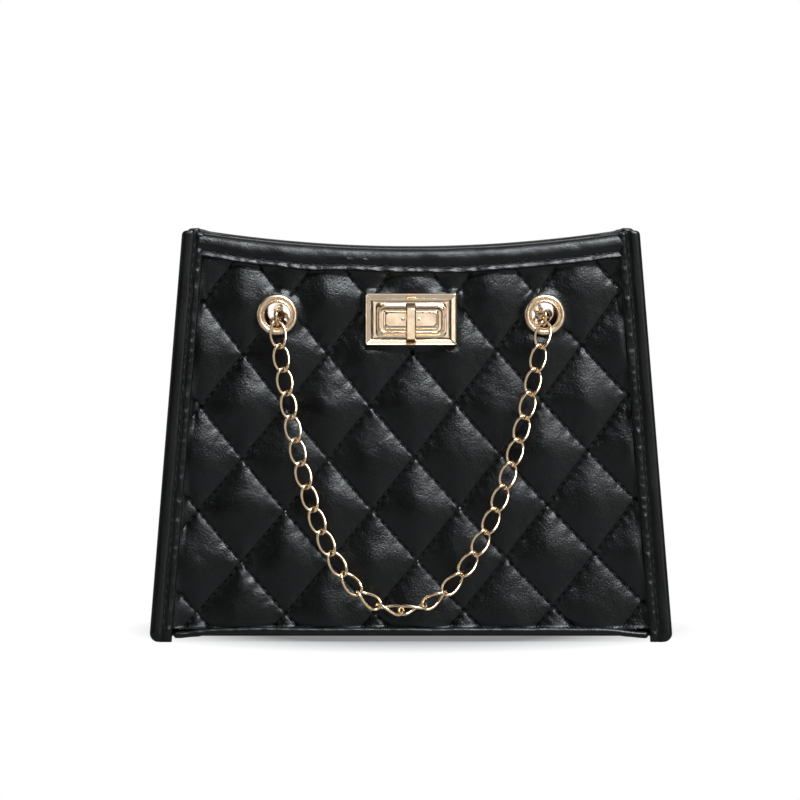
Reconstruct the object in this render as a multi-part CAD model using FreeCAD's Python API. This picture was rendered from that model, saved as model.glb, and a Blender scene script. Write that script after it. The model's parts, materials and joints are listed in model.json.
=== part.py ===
"""Small quilted shoulder bag with a chain strap and a turn lock.

The bag stands on the floor at z = 0, with +X to its right, -Y to its front and +Z up.
Millimetres throughout. Each panel leans in towards the rim, so the pieces of a panel are
made flat in the panel's own frame (u across, v up the panel, w out of it) and then placed.
The back is the front turned half a turn about Z.
"""
import FreeCAD
import Part
import math
import os
from FreeCAD import Placement, Rotation, Vector

# ---- overall size -------------------------------------------------------------------
WIDTH_FOOT = 236.0  # across the side bindings at the floor
WIDTH_RIM = 207.0  # across the side bindings at their tops
HEIGHT = 184.5  # floor to the top corners
RIM_DIP = 8.5  # how far the middle of the rim lies below its corners
DEPTH_FOOT = 80.0  # over the quilted faces at their feet
DEPTH_RIM = 40.0  # over the quilted faces at the top corners

# ---- sheet goods --------------------------------------------------------------------
SKIN = 1.0  # quilted outer leather
FOAM = 3.0  # wadding behind the quilting
LINING = 0.6
GUSSET = 1.2  # side leather
BINDING = 0.9  # edge binding tape
HEM = 1.0  # leather folded over the rim
HEM_HEIGHT = 10.0
GUSSET_FOLD = 12.0  # how far the side tucks in at the rim

# ---- side bindings, which are also the feet ---------------------------------------------
ROLL_WIDTH = 6.0  # the padded outer roll
TAPE_WIDTH = 10.5  # roll and flat facing together
ROLL_ROUND = 1.2  # edge rounding of the roll
CORNER_ROUND = 4.0  # rounding at the roll's two ends

# ---- base -----------------------------------------------------------------------------
BASE_GAP = 2.7  # floor to the underside of the base
BASE_LEATHER = 1.2
BOARD = 2.0
PIPING_RADIUS = 1.5
SKIN_LIFT = 1.6  # the quilted skin stops this far above the panel's foot

# ---- eyelets ----------------------------------------------------------------------------
EYELET_BORE = 5.9  # radius
EYELET_WALL = 0.5
EYELET_FLANGE = 9.4  # radius
EYELET_DOME = 1.4  # height of the flange over the skin
EYELET_SPREAD = 60.4  # from the middle of the panel
EYELET_HEIGHT = 146.5  # above the floor
EYELET_WASHER = 0.7
EYELET_CURL = 1.2  # width of the rolled inner end
EYELET_CURL_THICK = 0.6

# ---- chain --------------------------------------------------------------------------------
WIRE = 0.7  # radius
LINK_RADIUS = 3.5  # centreline radius of a link's ends
LINK_TWIST = 42.0  # each end is turned this far out of the link's own plane
PITCH = 10.8
LINK_GAP = 0.25  # daylight between two links that pull on each other
CHAIN_STAND_OFF = 4.9  # chain's plane in front of the skin
HOOK_CLEARANCE = 0.5  # between a hooked link and the eyelet's bore, below
CHAIN_REACH = 8.0  # lowest link's middle above the panel's foot
CHAIN_DRIFT = -4.5  # the lowest link lies this far to the side
ROLLED_LINKS = 9.0  # links over which the strap turns on edge at the bottom
INNER_SLACK = 1.014  # length of the chain inside over the straight line

# ---- turn lock ------------------------------------------------------------------------------
LOCK_HEIGHT = 144.3  # centre above the floor
FRAME_WIDTH = 41.0
FRAME_HEIGHT = 23.4
FRAME_EDGE = 1.1  # height of the straight outer side
FRAME_BEVEL = 2.1  # width of the outer bevel
FRAME_CREST = 3.2  # height over the skin
CREST_WIDTH = 0.5
COVE_WIDTH = 3.1
COVE_FLOOR = 1.5  # height of the hollow's floor
SLOT_WIDTH = 27.4
SLOT_HEIGHT = 10.6
SLOT_ROUND = 2.0
SLOT_RIM = 1.3  # width of the raised rim round the slot
SLOT_RIM_TOP = 2.6
POST_RADIUS = 0.9
POST_INSET = 4.0
BACKPLATE = 0.8
BOSS_GAP = 0.7  # all round, between boss and slot
BOSS_TOP = 2.6
BOSS_ROUND = 1.5
FLANGE_MARGIN = 3.2  # how far the boss's flange reaches past the boss
FLANGE = 1.0
LOCK_GAP = 0.3  # between the lock's front half and the half that lifts away
RIVET_RADIUS = 0.5
RIVET_SPREAD = 3.6  # from the spindle
RIVET_HEAD = 0.15
TOGGLE_LENGTH = 16.6
TOGGLE_DROP = 1.0  # the bar's middle hangs this far below its spindle
TOGGLE_RAMP = 2.8  # length of the sloping upper end
TOGGLE_WIDTH = 4.6
TOGGLE_DEPTH = 2.9
TOGGLE_CHAMFER = 0.6
TOGGLE_LIFT = 0.7  # bar's back face over the boss
SPINDLE_RADIUS = 1.5
RUNNING_GAP = 0.05  # radial
COLLAR_RADIUS = 2.2
SPRING_THICK = 0.4
SPRING_RADIUS = 2.4
RETAINER_THICK = 0.7
RETAINER_RADIUS = 2.3
POCKET_RADIUS = 2.6
POCKET_DEPTH = 2.6

# ---- closure tab -----------------------------------------------------------------------------
TAB_WIDTH = 30.0
TAB_THICK = 2.2
TAB_TAIL = 15.0  # past the lock's centre
TAB_ROOT = 25.0  # length sewn to the back lining
TAB_ROUND = 6.0
TAB_UNDER_RIM = 4.0  # top of the tab below the middle of the rim

FIT = 0.05  # clearance of a part in its own hole
SEAM = 0.15  # daylight at a sewn edge between layers

# ---- worked out ----------------------------------------------------------------------------
PANEL_FOOT = BASE_GAP + BASE_LEATHER + 0.6
LEAN = math.atan2((DEPTH_FOOT - DEPTH_RIM) / 2, HEIGHT - PANEL_FOOT)
SIN, COS = math.sin(LEAN), math.cos(LEAN)
STACK = SKIN + FOAM + LINING
WALL_INSET = ROLL_WIDTH + GUSSET
V_CORNER = (HEIGHT - PANEL_FOOT) / COS
V_EYELET = (EYELET_HEIGHT - PANEL_FOOT) / COS
V_LOCK = (LOCK_HEIGHT - PANEL_FOOT) / COS
LINK_LENGTH = PITCH + 2 * WIRE + LINK_GAP  # between the two end centrelines


def half_width(v):
    """Half the bag's width at height v up a panel."""
    z = PANEL_FOOT + v * COS
    return (WIDTH_FOOT - (WIDTH_FOOT - WIDTH_RIM) * z / HEIGHT) / 2


RIM_CHORD = half_width(V_CORNER)
RIM_RADIUS = (RIM_CHORD**2 + (RIM_DIP / COS) ** 2) / (2 * RIM_DIP / COS)
RIM_CENTRE = V_CORNER - RIM_DIP / COS + RIM_RADIUS

FRONT = Placement(Vector(0, -DEPTH_FOOT / 2, PANEL_FOOT), Rotation(Vector(1, 0, 0), 90 - math.degrees(LEAN)))
HALF_TURN = Placement(Vector(), Rotation(Vector(0, 0, 1), 180))
BACK = HALF_TURN.multiply(FRONT)
FACES = {"front": FRONT, "back": BACK}
SIDES = {"left": -1, "right": 1}


def placed(shape, placement):
    """A copy of a shape made in a panel's frame, moved to where that panel stands."""
    out = shape.copy()
    out.Placement = placement.multiply(out.Placement)
    return out


def fused(shapes):
    """One solid from solids that touch."""
    out = shapes[0].multiFuse(shapes[1:]) if len(shapes) > 1 else shapes[0]
    return out.removeSplitter()


# ---- flat shapes in a panel's frame --------------------------------------------------------
def rim_height(u, drop):
    """Height of the curved rim at u, measured drop below it along its radius."""
    return RIM_CENTRE - math.sqrt((RIM_RADIUS + drop) ** 2 - u * u)


def rim_corner(inset, drop):
    """Where the side line, inset from the outer edge, meets the rim curve, drop below it."""
    v = V_CORNER - drop
    for _ in range(20):
        v = rim_height(half_width(v) - inset, drop)
    return half_width(v) - inset, v


def polygon(points):
    """A flat face from corner points (u, v)."""
    corners = [Vector(u, v, 0) for u, v in points]
    return Part.Face(Part.makePolygon(corners + corners[:1]))


def panel_face(inset, low, drop):
    """The panel's outline: straight sides, a straight foot and the dipping rim."""
    u, v = rim_corner(inset, drop)
    foot = half_width(low) - inset
    corners = [Vector(-u, v, 0), Vector(-foot, low, 0), Vector(foot, low, 0), Vector(u, v, 0)]
    rim = Part.Arc(corners[3], Vector(0, rim_height(0, drop), 0), corners[0]).toShape()
    return Part.Face(Part.Wire([*Part.makePolygon(corners).Edges, rim]))


def rim_band(inset, upper, lower):
    """A curved strip that follows the rim, from upper to lower below it."""
    (ua, va), (ub, vb) = rim_corner(inset, upper), rim_corner(inset, lower)
    top = Part.Arc(Vector(-ua, va, 0), Vector(0, rim_height(0, upper), 0), Vector(ua, va, 0)).toShape()
    bottom = Part.Arc(Vector(ub, vb, 0), Vector(0, rim_height(0, lower), 0), Vector(-ub, vb, 0)).toShape()
    right = Part.makeLine(Vector(ua, va, 0), Vector(ub, vb, 0))
    left = Part.makeLine(Vector(-ub, vb, 0), Vector(-ua, va, 0))
    return Part.Face(Part.Wire([top, right, bottom, left]))


def side_strip(side, outer, inner, low, high):
    """A strip along the leaning side edge, between two distances in from it."""
    return polygon([(side * (half_width(v) - inset), v)
                    for v, inset in ((low, outer), (low, inner), (high, inner), (high, outer))])


def plate(face, low, high):
    """A face given a thickness, from w = low to w = high."""
    out = face.copy()
    out.translate(Vector(0, 0, low))
    return out.extrude(Vector(0, 0, high - low))


def block(width, height, low, high, v=0.0, round_=0.0):
    """A rectangular block centred on the panel's middle line at height v, its corners rounded."""
    out = Part.makeBox(width, height, high - low, Vector(-width / 2, v - height / 2, low))
    if round_:
        upright = [e for e in out.Edges if abs(e.tangentAt(e.FirstParameter).z) > 0.99]
        out = out.makeFillet(round_, upright)
    return out


def rod(radius, low, high, u=0.0, v=0.0):
    """A cylinder along w."""
    return Part.makeCylinder(radius, high - low, Vector(u, v, low))


def ring(bore, radius, low, high, u=0.0, v=0.0):
    """A washer along w."""
    return rod(radius, low, high, u, v).cut(rod(bore, low, high, u, v))


# ---- holes through a panel -------------------------------------------------------------------
def panel_side(face, name):
    """Which way the bag's left or right lies in a panel's own frame: the back is turned round."""
    return SIDES[name] if face == "front" else -SIDES[name]


def eyelet_centres(face):
    """The bag's left and right eyelet centres in a panel's frame."""
    return {name: (panel_side(face, name) * EYELET_SPREAD, V_EYELET) for name in SIDES}


def post_centres():
    """The four posts that hold the lock's frame."""
    half_u, half_v = FRAME_WIDTH / 2 - POST_INSET, FRAME_HEIGHT / 2 - POST_INSET / 1.6
    return [(a * half_u, V_LOCK + b * half_v) for a in (-1, 1) for b in (-1, 1)]


def panel_holes(face, low, high):
    """What is cut from every layer of a panel: eyelet holes, and the lock's slot and post holes in front."""
    out = [rod(EYELET_BORE + EYELET_WALL + FIT, low, high, u, v) for u, v in eyelet_centres(face).values()]
    if face == "front":
        out.append(block(SLOT_WIDTH + 2 * FIT, SLOT_HEIGHT + 2 * FIT, low, high, V_LOCK, SLOT_ROUND))
        out += [rod(POST_RADIUS + FIT, low, high, u, v) for u, v in post_centres()]
    return out


# ---- panels --------------------------------------------------------------------------------
def panel_layers(face):
    """Skin, wadding, lining, rim hem and rim stiffener of the front or back."""
    inner = WALL_INSET + SEAM
    skin = plate(panel_face(BINDING, SKIN_LIFT, HEM_HEIGHT), -SKIN, 0)
    foam = plate(panel_face(inner, 0, HEM_HEIGHT), -SKIN - FOAM, -SKIN)
    lining = plate(panel_face(inner, 0, HEM_HEIGHT), -STACK, -SKIN - FOAM)
    hem = fused([plate(rim_band(BINDING, 0, HEM_HEIGHT), -SKIN, 0),
                 plate(rim_band(inner, 0, HEM), -STACK, 0),
                 plate(rim_band(inner, 0, HEM_HEIGHT), -STACK, -SKIN - FOAM)])
    stiffener = plate(rim_band(inner, HEM, HEM_HEIGHT), -SKIN - FOAM, -SKIN)
    holes = panel_holes(face, -STACK - 1, 1)
    layers = {"quilted_skin": skin, "wadding": foam, "lining": lining}
    out = {f"{face}_{name}": shape.cut(holes) for name, shape in layers.items()}
    out[f"{face}_rim_hem"] = hem
    out[f"{face}_rim_stiffener"] = stiffener
    return out


def binding(side):
    """Edge binding: a roll round the sewn edges with a flat facing on the skin, rounded at both ends."""
    low, high = -PANEL_FOOT / COS - 2, V_CORNER
    foot = (-PANEL_FOOT - BINDING * SIN) / COS
    back = -SKIN - GUSSET - BINDING
    path = Vector(side * (half_width(high) - half_width(low)), high - low, 0)
    section = [(0, back), (ROLL_WIDTH - SEAM, back), (ROLL_WIDTH - SEAM, -SKIN - GUSSET),
               (BINDING, -SKIN - GUSSET), (BINDING, 0), (TAPE_WIDTH, 0), (TAPE_WIDTH, BINDING), (0, BINDING)]
    corners = [Vector(side * (half_width(low) - inset), low, w) for inset, w in section]
    tape = Part.Face(Part.makePolygon(corners + corners[:1])).extrude(path)
    along = path.normalize()
    outer = [e for e in tape.Edges if e.Length > V_CORNER - 1
             and abs(abs(e.Vertexes[0].X) - half_width(e.Vertexes[0].Y)) < 0.01]
    tape = tape.makeFillet(ROLL_ROUND, outer)
    plug = plate(side_strip(side, BINDING / 2, ROLL_WIDTH - SEAM, low, -SEAM), -SKIN - GUSSET, 0)
    tape = fused([tape, plug])
    outline = polygon([(side * (half_width(v) - inset), v) for v, inset in
                       ((low, -1), (low, TAPE_WIDTH + 1), (high, TAPE_WIDTH + 1), (high, -1))])
    tape = tape.common(plate(outline, back - 1, BINDING + 1))
    return tape.cut([corner_nick(side, v, turn, along, back) for v, turn in ((foot, 1), (high, -1))])


def on_floor(shape):
    """What is left of a placed shape above the floor."""
    size = WIDTH_FOOT * 2
    return shape.cut(Part.makeBox(size, size, 50, Vector(-size / 2, -size / 2, -50)))


def corner_nick(side, v, turn, along, back):
    """What is cut away to round the roll's outer corner at height v; turn is +1 at its foot."""
    corner = Vector(side * half_width(v), v, 0)
    start, end = corner + along * (turn * CORNER_ROUND), corner - Vector(side * CORNER_ROUND, 0, 0)
    middle = (start + end) * 0.5 + (corner - (start + end) * 0.5) * 0.42
    out = (corner - end).normalize() - along * turn
    far = corner + out * 2
    edges = [Part.Arc(start, middle, end).toShape(), Part.makeLine(end, end - along * turn * 2),
             Part.makeLine(end - along * turn * 2, far), Part.makeLine(far, start + Vector(side * 2, 0, 0)),
             Part.makeLine(start + Vector(side * 2, 0, 0), start)]
    return plate(Part.Face(Part.Wire(edges)), back - 1, BINDING + 1)


# ---- sides ------------------------------------------------------------------------------------
def on_panel(placement, u, v, w):
    """A point of a panel's frame as a point of the bag."""
    return placement.multVec(Vector(u, v, w))


def tucked_wall(side, inset, thick, low, high):
    """The side sheet between the two panels. Its middle tucks in along a crease towards the rim."""
    u_low, u_high = side * (half_width(low) - inset), side * (half_width(high) - inset)
    inward = Vector(-side * thick, 0, 0)
    prisms = []
    for name, placement in FACES.items():
        flip = 1 if name == "front" else -1
        foot, top = on_panel(placement, flip * u_low, low, -STACK), on_panel(placement, flip * u_high, high, -STACK)
        mid_foot, mid_top = Vector(foot.x, 0, foot.z), Vector(top.x - side * GUSSET_FOLD, 0, top.z)
        for corners in ((foot, mid_foot, top), (mid_foot, mid_top, top)):
            prisms.append(Part.Face(Part.makePolygon([*corners, corners[0]])).extrude(inward))
    return fused(prisms)


def gusset(side):
    """Side leather: the tucked wall, and an edge turned out against each panel inside its binding."""
    low, high = 0.0, V_CORNER - SEAM
    parts = [tucked_wall(side, ROLL_WIDTH, GUSSET, low, high)]
    for name, placement in FACES.items():
        flip = side if name == "front" else -side
        flange = plate(side_strip(flip, BINDING, WALL_INSET, low, high), -SKIN - GUSSET, -SKIN)
        web = plate(side_strip(flip, ROLL_WIDTH, WALL_INSET, low, high), -STACK, -SKIN)
        parts.append(placed(fused([flange, web]), placement))
    return fused(parts)


def gusset_inside(side):
    """The side's lining, and the leather facing that finishes it at the rim."""
    sheet = tucked_wall(side, WALL_INSET, LINING, 0.0, V_CORNER - SEAM)
    line = HEIGHT - HEM_HEIGHT
    above = Part.makeBox(WIDTH_FOOT, DEPTH_FOOT, HEM_HEIGHT * 2, Vector(-WIDTH_FOOT / 2, -DEPTH_FOOT / 2, line))
    return sheet.cut(above), sheet.common(above)


# ---- base ---------------------------------------------------------------------------------------
def side_inset(z):
    """How far the side has come in at height z: its lean, and the tuck in its middle."""
    return (WIDTH_FOOT - WIDTH_RIM) * z / HEIGHT / 2 + GUSSET_FOLD * max(0.0, z - PANEL_FOOT) / (HEIGHT - PANEL_FOOT)


def base_plate(inset, y_half, low, thick):
    """A flat rectangle of the base."""
    x_half = WIDTH_FOOT / 2 - inset - side_inset(low + thick)
    return Part.makeBox(2 * x_half, 2 * y_half, thick, Vector(-x_half, -y_half, low))


def base_parts():
    """Outer leather, board, lining, and the piping round them."""
    pipe_z = BASE_GAP + PIPING_RADIUS + 0.1
    pipe_y = DEPTH_FOOT / 2 + 0.8
    board_low = BASE_GAP + BASE_LEATHER
    lining_top = board_low + BOARD + LINING
    inside = DEPTH_FOOT / 2 - STACK / COS - (lining_top - PANEL_FOOT) * math.tan(LEAN) - SEAM
    pipe_x = WIDTH_FOOT / 2 - side_inset(pipe_z + PIPING_RADIUS) - TAPE_WIDTH - SEAM
    side_x = half_width(0) - ROLL_WIDTH + PIPING_RADIUS + FIT
    side_y = DEPTH_FOOT / 2 - (SKIN + GUSSET + BINDING) / COS - PIPING_RADIUS / 2
    out = {"base_leather": base_plate(ROLL_WIDTH + FIT, pipe_y - PIPING_RADIUS - FIT, BASE_GAP, BASE_LEATHER),
           "base_board": base_plate(WALL_INSET + LINING + SEAM, inside, board_low, BOARD),
           "base_lining": base_plate(WALL_INSET + LINING + SEAM, inside, board_low + BOARD, LINING)}
    for name, sign in (("front", -1), ("back", 1)):
        start = Vector(-pipe_x, sign * pipe_y, pipe_z)
        out[f"{name}_piping"] = Part.makeCylinder(PIPING_RADIUS, 2 * pipe_x, start, Vector(1, 0, 0))
    for name, sign in SIDES.items():
        start = Vector(sign * side_x, -side_y, pipe_z)
        out[f"{name}_piping"] = Part.makeCylinder(PIPING_RADIUS, 2 * side_y, start, Vector(0, 1, 0))
    return out


# ---- eyelets ------------------------------------------------------------------------------------
def eyelet():
    """A flanged tube with its inner end curled over, turned about w at the origin."""
    wall, end = EYELET_BORE + EYELET_WALL, -STACK - EYELET_WASHER
    lip = EYELET_WALL
    points = {"curl": (EYELET_BORE, end - EYELET_CURL_THICK), "lip": (EYELET_BORE, EYELET_DOME - lip),
              "crest": (wall, EYELET_DOME), "edge": (EYELET_FLANGE, 0.0), "root": (wall, 0.0), "seat": (wall, end),
              "curl_edge": (wall + EYELET_CURL, end), "curl_back": (wall + EYELET_CURL, end - EYELET_CURL_THICK)}
    at = {name: Vector(r, 0, w) for name, (r, w) in points.items()}
    lip_middle = Vector(EYELET_BORE + lip * 0.3, 0, EYELET_DOME - lip * 0.3)
    dome_middle = Vector(wall + (EYELET_FLANGE - wall) * 0.62, 0, EYELET_DOME * 0.8)
    edges = [Part.makeLine(at["curl"], at["lip"]), Part.Arc(at["lip"], lip_middle, at["crest"]).toShape(),
             Part.Arc(at["crest"], dome_middle, at["edge"]).toShape(), Part.makeLine(at["edge"], at["root"]),
             Part.makeLine(at["root"], at["seat"]), Part.makeLine(at["seat"], at["curl_edge"]),
             Part.makeLine(at["curl_edge"], at["curl_back"]), Part.makeLine(at["curl_back"], at["curl"])]
    return Part.Face(Part.Wire(edges)).revolve(Vector(), Vector(0, 0, 1), 360)


def eyelets(face):
    """Both eyelets of one panel and their washers."""
    out = {}
    for name, (u, v) in eyelet_centres(face).items():
        body = eyelet()
        body.translate(Vector(u, v, 0))
        out[f"{face}_{name}_eyelet"] = body
        bore = EYELET_BORE + EYELET_WALL + FIT
        out[f"{face}_{name}_eyelet_washer"] = ring(bore, EYELET_FLANGE, -STACK - EYELET_WASHER, -STACK, u, v)
    return out


# ---- turn lock ------------------------------------------------------------------------------------
def frustum(width, height, low, width_top, height_top, high):
    """A four-sided block whose top is smaller or larger than its foot."""
    rings = []
    for x, y, w in ((width, height, low), (width_top, height_top, high)):
        corners = [Vector(a * x / 2, V_LOCK + b * y / 2, w) for a, b in ((-1, -1), (1, -1), (1, 1), (-1, 1))]
        rings.append(Part.makePolygon(corners + corners[:1]))
    return Part.makeLoft(rings, True, True)


def lock_frame():
    """The front half's frame: bevelled outside, hollow inside, a raised rim round the slot, four posts."""
    crest_w, crest_h = FRAME_WIDTH - 2 * FRAME_BEVEL, FRAME_HEIGHT - 2 * FRAME_BEVEL
    lip_w, lip_h = crest_w - 2 * CREST_WIDTH, crest_h - 2 * CREST_WIDTH
    floor_w, floor_h = lip_w - COVE_WIDTH, lip_h - COVE_WIDTH * 0.6
    body = fused([block(FRAME_WIDTH, FRAME_HEIGHT, 0, FRAME_EDGE, V_LOCK),
                  frustum(FRAME_WIDTH, FRAME_HEIGHT, FRAME_EDGE, crest_w, crest_h, FRAME_CREST)])
    body = body.cut(frustum(floor_w, floor_h, COVE_FLOOR, lip_w, lip_h, FRAME_CREST))
    rim = block(SLOT_WIDTH + 2 * SLOT_RIM, SLOT_HEIGHT + 2 * SLOT_RIM, FRAME_EDGE, SLOT_RIM_TOP, V_LOCK,
                SLOT_ROUND + SLOT_RIM)
    slot = block(SLOT_WIDTH, SLOT_HEIGHT, -1, FRAME_CREST + 1, V_LOCK, SLOT_ROUND)
    body = fused([body, rim]).cut(slot)
    posts = [rod(POST_RADIUS, -STACK - BACKPLATE, FRAME_EDGE / 2, u, v) for u, v in post_centres()]
    return fused([body, *posts])


def toggle_bar(low):
    """The bar that is turned: its upper end slopes back, and the edges of its face are chamfered."""
    foot = V_LOCK - TOGGLE_DROP - TOGGLE_LENGTH / 2
    head, high = foot + TOGGLE_LENGTH, low + TOGGLE_DEPTH
    side = [Vector(0, v, w) for v, w in ((foot, low), (head, low), (head, low + TOGGLE_CHAMFER),
                                         (head - TOGGLE_RAMP, high), (foot, high))]
    face = Part.Face(Part.makePolygon(side + side[:1]))
    face.translate(Vector(-TOGGLE_WIDTH / 2, 0, 0))
    bar = face.extrude(Vector(TOGGLE_WIDTH, 0, 0))
    long_edges = [e for e in bar.Edges if all(abs(p.Z - high) < 0.01 for p in e.Vertexes)
                  and abs(e.tangentAt(e.FirstParameter).y) > 0.99]
    return bar.makeChamfer(TOGGLE_CHAMFER, long_edges)


def lock_parts():
    """Every piece of the turn lock, by name, in the front panel's frame."""
    boss_w, boss_h = SLOT_WIDTH - 2 * BOSS_GAP, SLOT_HEIGHT - 2 * BOSS_GAP
    plate_low = -STACK - BACKPLATE
    flange_top = plate_low - LOCK_GAP
    tab_top = flange_top - FLANGE
    tab_low = tab_top - TAB_THICK
    rivets = [(a * RIVET_SPREAD, V_LOCK) for a in (-1, 1)]

    backplate = block(FRAME_WIDTH, FRAME_HEIGHT, plate_low, -STACK, V_LOCK, SLOT_ROUND)
    backplate = backplate.cut([block(SLOT_WIDTH, SLOT_HEIGHT, plate_low, -STACK, V_LOCK, SLOT_ROUND)]
                              + [rod(POST_RADIUS + FIT, plate_low, -STACK, u, v) for u, v in post_centres()])

    boss = block(boss_w, boss_h, tab_top, BOSS_TOP, V_LOCK, BOSS_ROUND)
    front_edges = [e for e in boss.Edges if all(abs(p.Z - BOSS_TOP) < 0.01 for p in e.Vertexes)]
    boss = boss.makeChamfer(0.4, front_edges)
    flange = block(boss_w + 2 * FLANGE_MARGIN, boss_h + 2 * FLANGE_MARGIN, tab_top, flange_top, V_LOCK, BOSS_ROUND)
    pocket = rod(POCKET_RADIUS, tab_top, tab_top + POCKET_DEPTH, 0, V_LOCK)
    bore = rod(SPINDLE_RADIUS + RUNNING_GAP, tab_top, BOSS_TOP, 0, V_LOCK)
    rivet_holes = [rod(RIVET_RADIUS + FIT, tab_low - BACKPLATE, BOSS_TOP, u, v) for u, v in rivets]
    boss = fused([boss, flange]).cut([pocket, bore, *rivet_holes])

    tab_plate = block(boss_w + 2 * FLANGE_MARGIN, boss_h + 2 * FLANGE_MARGIN, tab_low - BACKPLATE, tab_low, V_LOCK,
                      BOSS_ROUND).cut(rivet_holes)
    rivet_solids = [fused([rod(RIVET_RADIUS, tab_low - BACKPLATE, BOSS_TOP, u, v),
                           rod(RIVET_RADIUS * 1.6, BOSS_TOP, BOSS_TOP + RIVET_HEAD, u, v),
                           rod(RIVET_RADIUS * 1.8, tab_low - BACKPLATE - 0.4, tab_low - BACKPLATE, u, v)])
                    for u, v in rivets]

    pocket_top = tab_top + POCKET_DEPTH
    bar_low = BOSS_TOP + TOGGLE_LIFT
    bar = toggle_bar(bar_low)
    spring_low = pocket_top - FIT - SPRING_THICK
    retainer_low = spring_low - FIT - RETAINER_THICK
    toggle = fused([bar, rod(COLLAR_RADIUS, BOSS_TOP + FIT, bar_low, 0, V_LOCK),
                    rod(SPINDLE_RADIUS, retainer_low - 0.3, bar_low, 0, V_LOCK)])
    spring = ring(SPINDLE_RADIUS + RUNNING_GAP, SPRING_RADIUS, spring_low, spring_low + SPRING_THICK, 0, V_LOCK)
    retainer = ring(SPINDLE_RADIUS + 0.02, RETAINER_RADIUS, retainer_low, retainer_low + RETAINER_THICK, 0, V_LOCK)
    return {"lock_frame": lock_frame(), "lock_frame_backplate": backplate, "lock_boss": boss,
            "lock_tab_plate": tab_plate, "lock_rivets": Part.Compound(rivet_solids), "lock_toggle": toggle,
            "lock_spring_washer": spring, "lock_toggle_retainer": retainer}


def closure_tab():
    """The strap that carries the lock's boss: sewn to the back lining, arched over to the front panel's inside."""
    plate_low = -STACK - BACKPLATE
    front_top = plate_low - LOCK_GAP - FLANGE
    front_mid, back_mid = front_top - TAB_THICK / 2, -STACK - TAB_THICK / 2
    arch_top = HEIGHT - RIM_DIP - TAB_UNDER_RIM - TAB_THICK / 2
    centre_y = (back_mid - front_mid) / 2 / COS
    reach = COS * (DEPTH_FOOT / 2 - centre_y) - SIN * (arch_top - PANEL_FOOT) + back_mid
    radius = reach / (1 - SIN)
    centre = Vector(0, centre_y, arch_top - radius)
    v_front = SIN * (centre_y + DEPTH_FOOT / 2) + COS * (centre.z - PANEL_FOOT)
    v_back = SIN * (DEPTH_FOOT / 2 - centre_y) + COS * (centre.z - PANEL_FOOT)
    tail = V_LOCK - TAB_TAIL
    leg = block(TAB_WIDTH, v_front - tail, front_top - TAB_THICK, front_top, (v_front + tail) / 2)
    ends = [e for e in leg.Edges if abs(e.tangentAt(e.FirstParameter).z) > 0.99 and e.Vertexes[0].Y < tail + 0.01]
    leg = leg.makeFillet(TAB_ROUND, ends)
    pocket = rod(POCKET_RADIUS, front_top - TAB_THICK, front_top, 0, V_LOCK)
    holes = [rod(RIVET_RADIUS + FIT, front_top - TAB_THICK, front_top, a * RIVET_SPREAD, V_LOCK) for a in (-1, 1)]
    leg = placed(leg.cut([pocket, *holes]), FRONT)
    root = placed(block(TAB_WIDTH, TAB_ROOT, -STACK - TAB_THICK, -STACK, v_back - TAB_ROOT / 2), BACK)
    sweep = 180 - 2 * math.degrees(LEAN)
    arch = Part.makeCylinder(radius + TAB_THICK / 2, TAB_WIDTH, Vector(), Vector(0, 0, 1), sweep)
    arch = arch.cut(Part.makeCylinder(radius - TAB_THICK / 2, TAB_WIDTH))
    # The cylinder's own axis becomes X, and its first edge the back panel's outward normal.
    turn = Rotation(Vector(0, COS, SIN), Vector(0, -SIN, COS), Vector(1, 0, 0), "ZXY")
    arch.Placement = Placement(centre - Vector(TAB_WIDTH / 2, 0, 0), turn)
    return fused([leg, arch, root])


# ---- chain ---------------------------------------------------------------------------------------
def turned_arc(point, heading, towards, radius, sweep):
    """An arc that leaves point along heading and bends towards a unit vector; returns its edge and its end."""
    centre = point + towards * radius

    def at(angle):
        return centre - towards * (radius * math.cos(angle)) + heading * (radius * math.sin(angle))

    edge = Part.Arc(point, at(sweep / 2), at(sweep)).toShape()
    heading_after = heading * math.cos(sweep) + towards * math.sin(sweep)
    towards_after = towards * math.cos(sweep) - heading * math.sin(sweep)
    return edge, at(sweep), heading_after, towards_after


def chain_link(length):
    """One curb link along Z: two half circles turned opposite ways, joined by S-shaped arms. All arcs are tangent."""
    twist = math.radians(LINK_TWIST)
    rise = length / 2 - LINK_RADIUS
    across, aside = LINK_RADIUS * math.cos(twist), LINK_RADIUS * math.sin(twist)
    sweep = 2 * math.atan(aside / rise)
    arm_radius = rise / math.sin(sweep)
    up, sideways = Vector(0, 0, 1), Vector(0, 1, 0)
    edges = []
    top_end = Part.Arc(Vector(across, aside, rise), Vector(0, 0, rise + LINK_RADIUS), Vector(-across, -aside, rise))
    edges.append(top_end.toShape())
    for start, heading in ((Vector(-across, -aside, rise), up * -1), (Vector(across, -aside, -rise), up)):
        first, point, along, towards = turned_arc(start, heading, sideways, arm_radius, sweep)
        second, point, along, towards = turned_arc(point, along, towards * -1, arm_radius, sweep)
        edges += [first, second]
    foot_end = Part.Arc(Vector(-across, aside, -rise), Vector(0, 0, -rise - LINK_RADIUS), Vector(across, -aside, -rise))
    edges.append(foot_end.toShape())
    bends = []
    for edge in edges:
        start, tangent = edge.valueAt(edge.FirstParameter), edge.tangentAt(edge.FirstParameter)
        disc = Part.Face(Part.Wire([Part.makeCircle(WIRE, start, tangent)]))
        sweep_deg = math.degrees(edge.LastParameter - edge.FirstParameter)
        bends.append(disc.revolve(edge.Curve.Center, edge.Curve.Axis, sweep_deg))
    return fused(bends).Solids[0]


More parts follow.
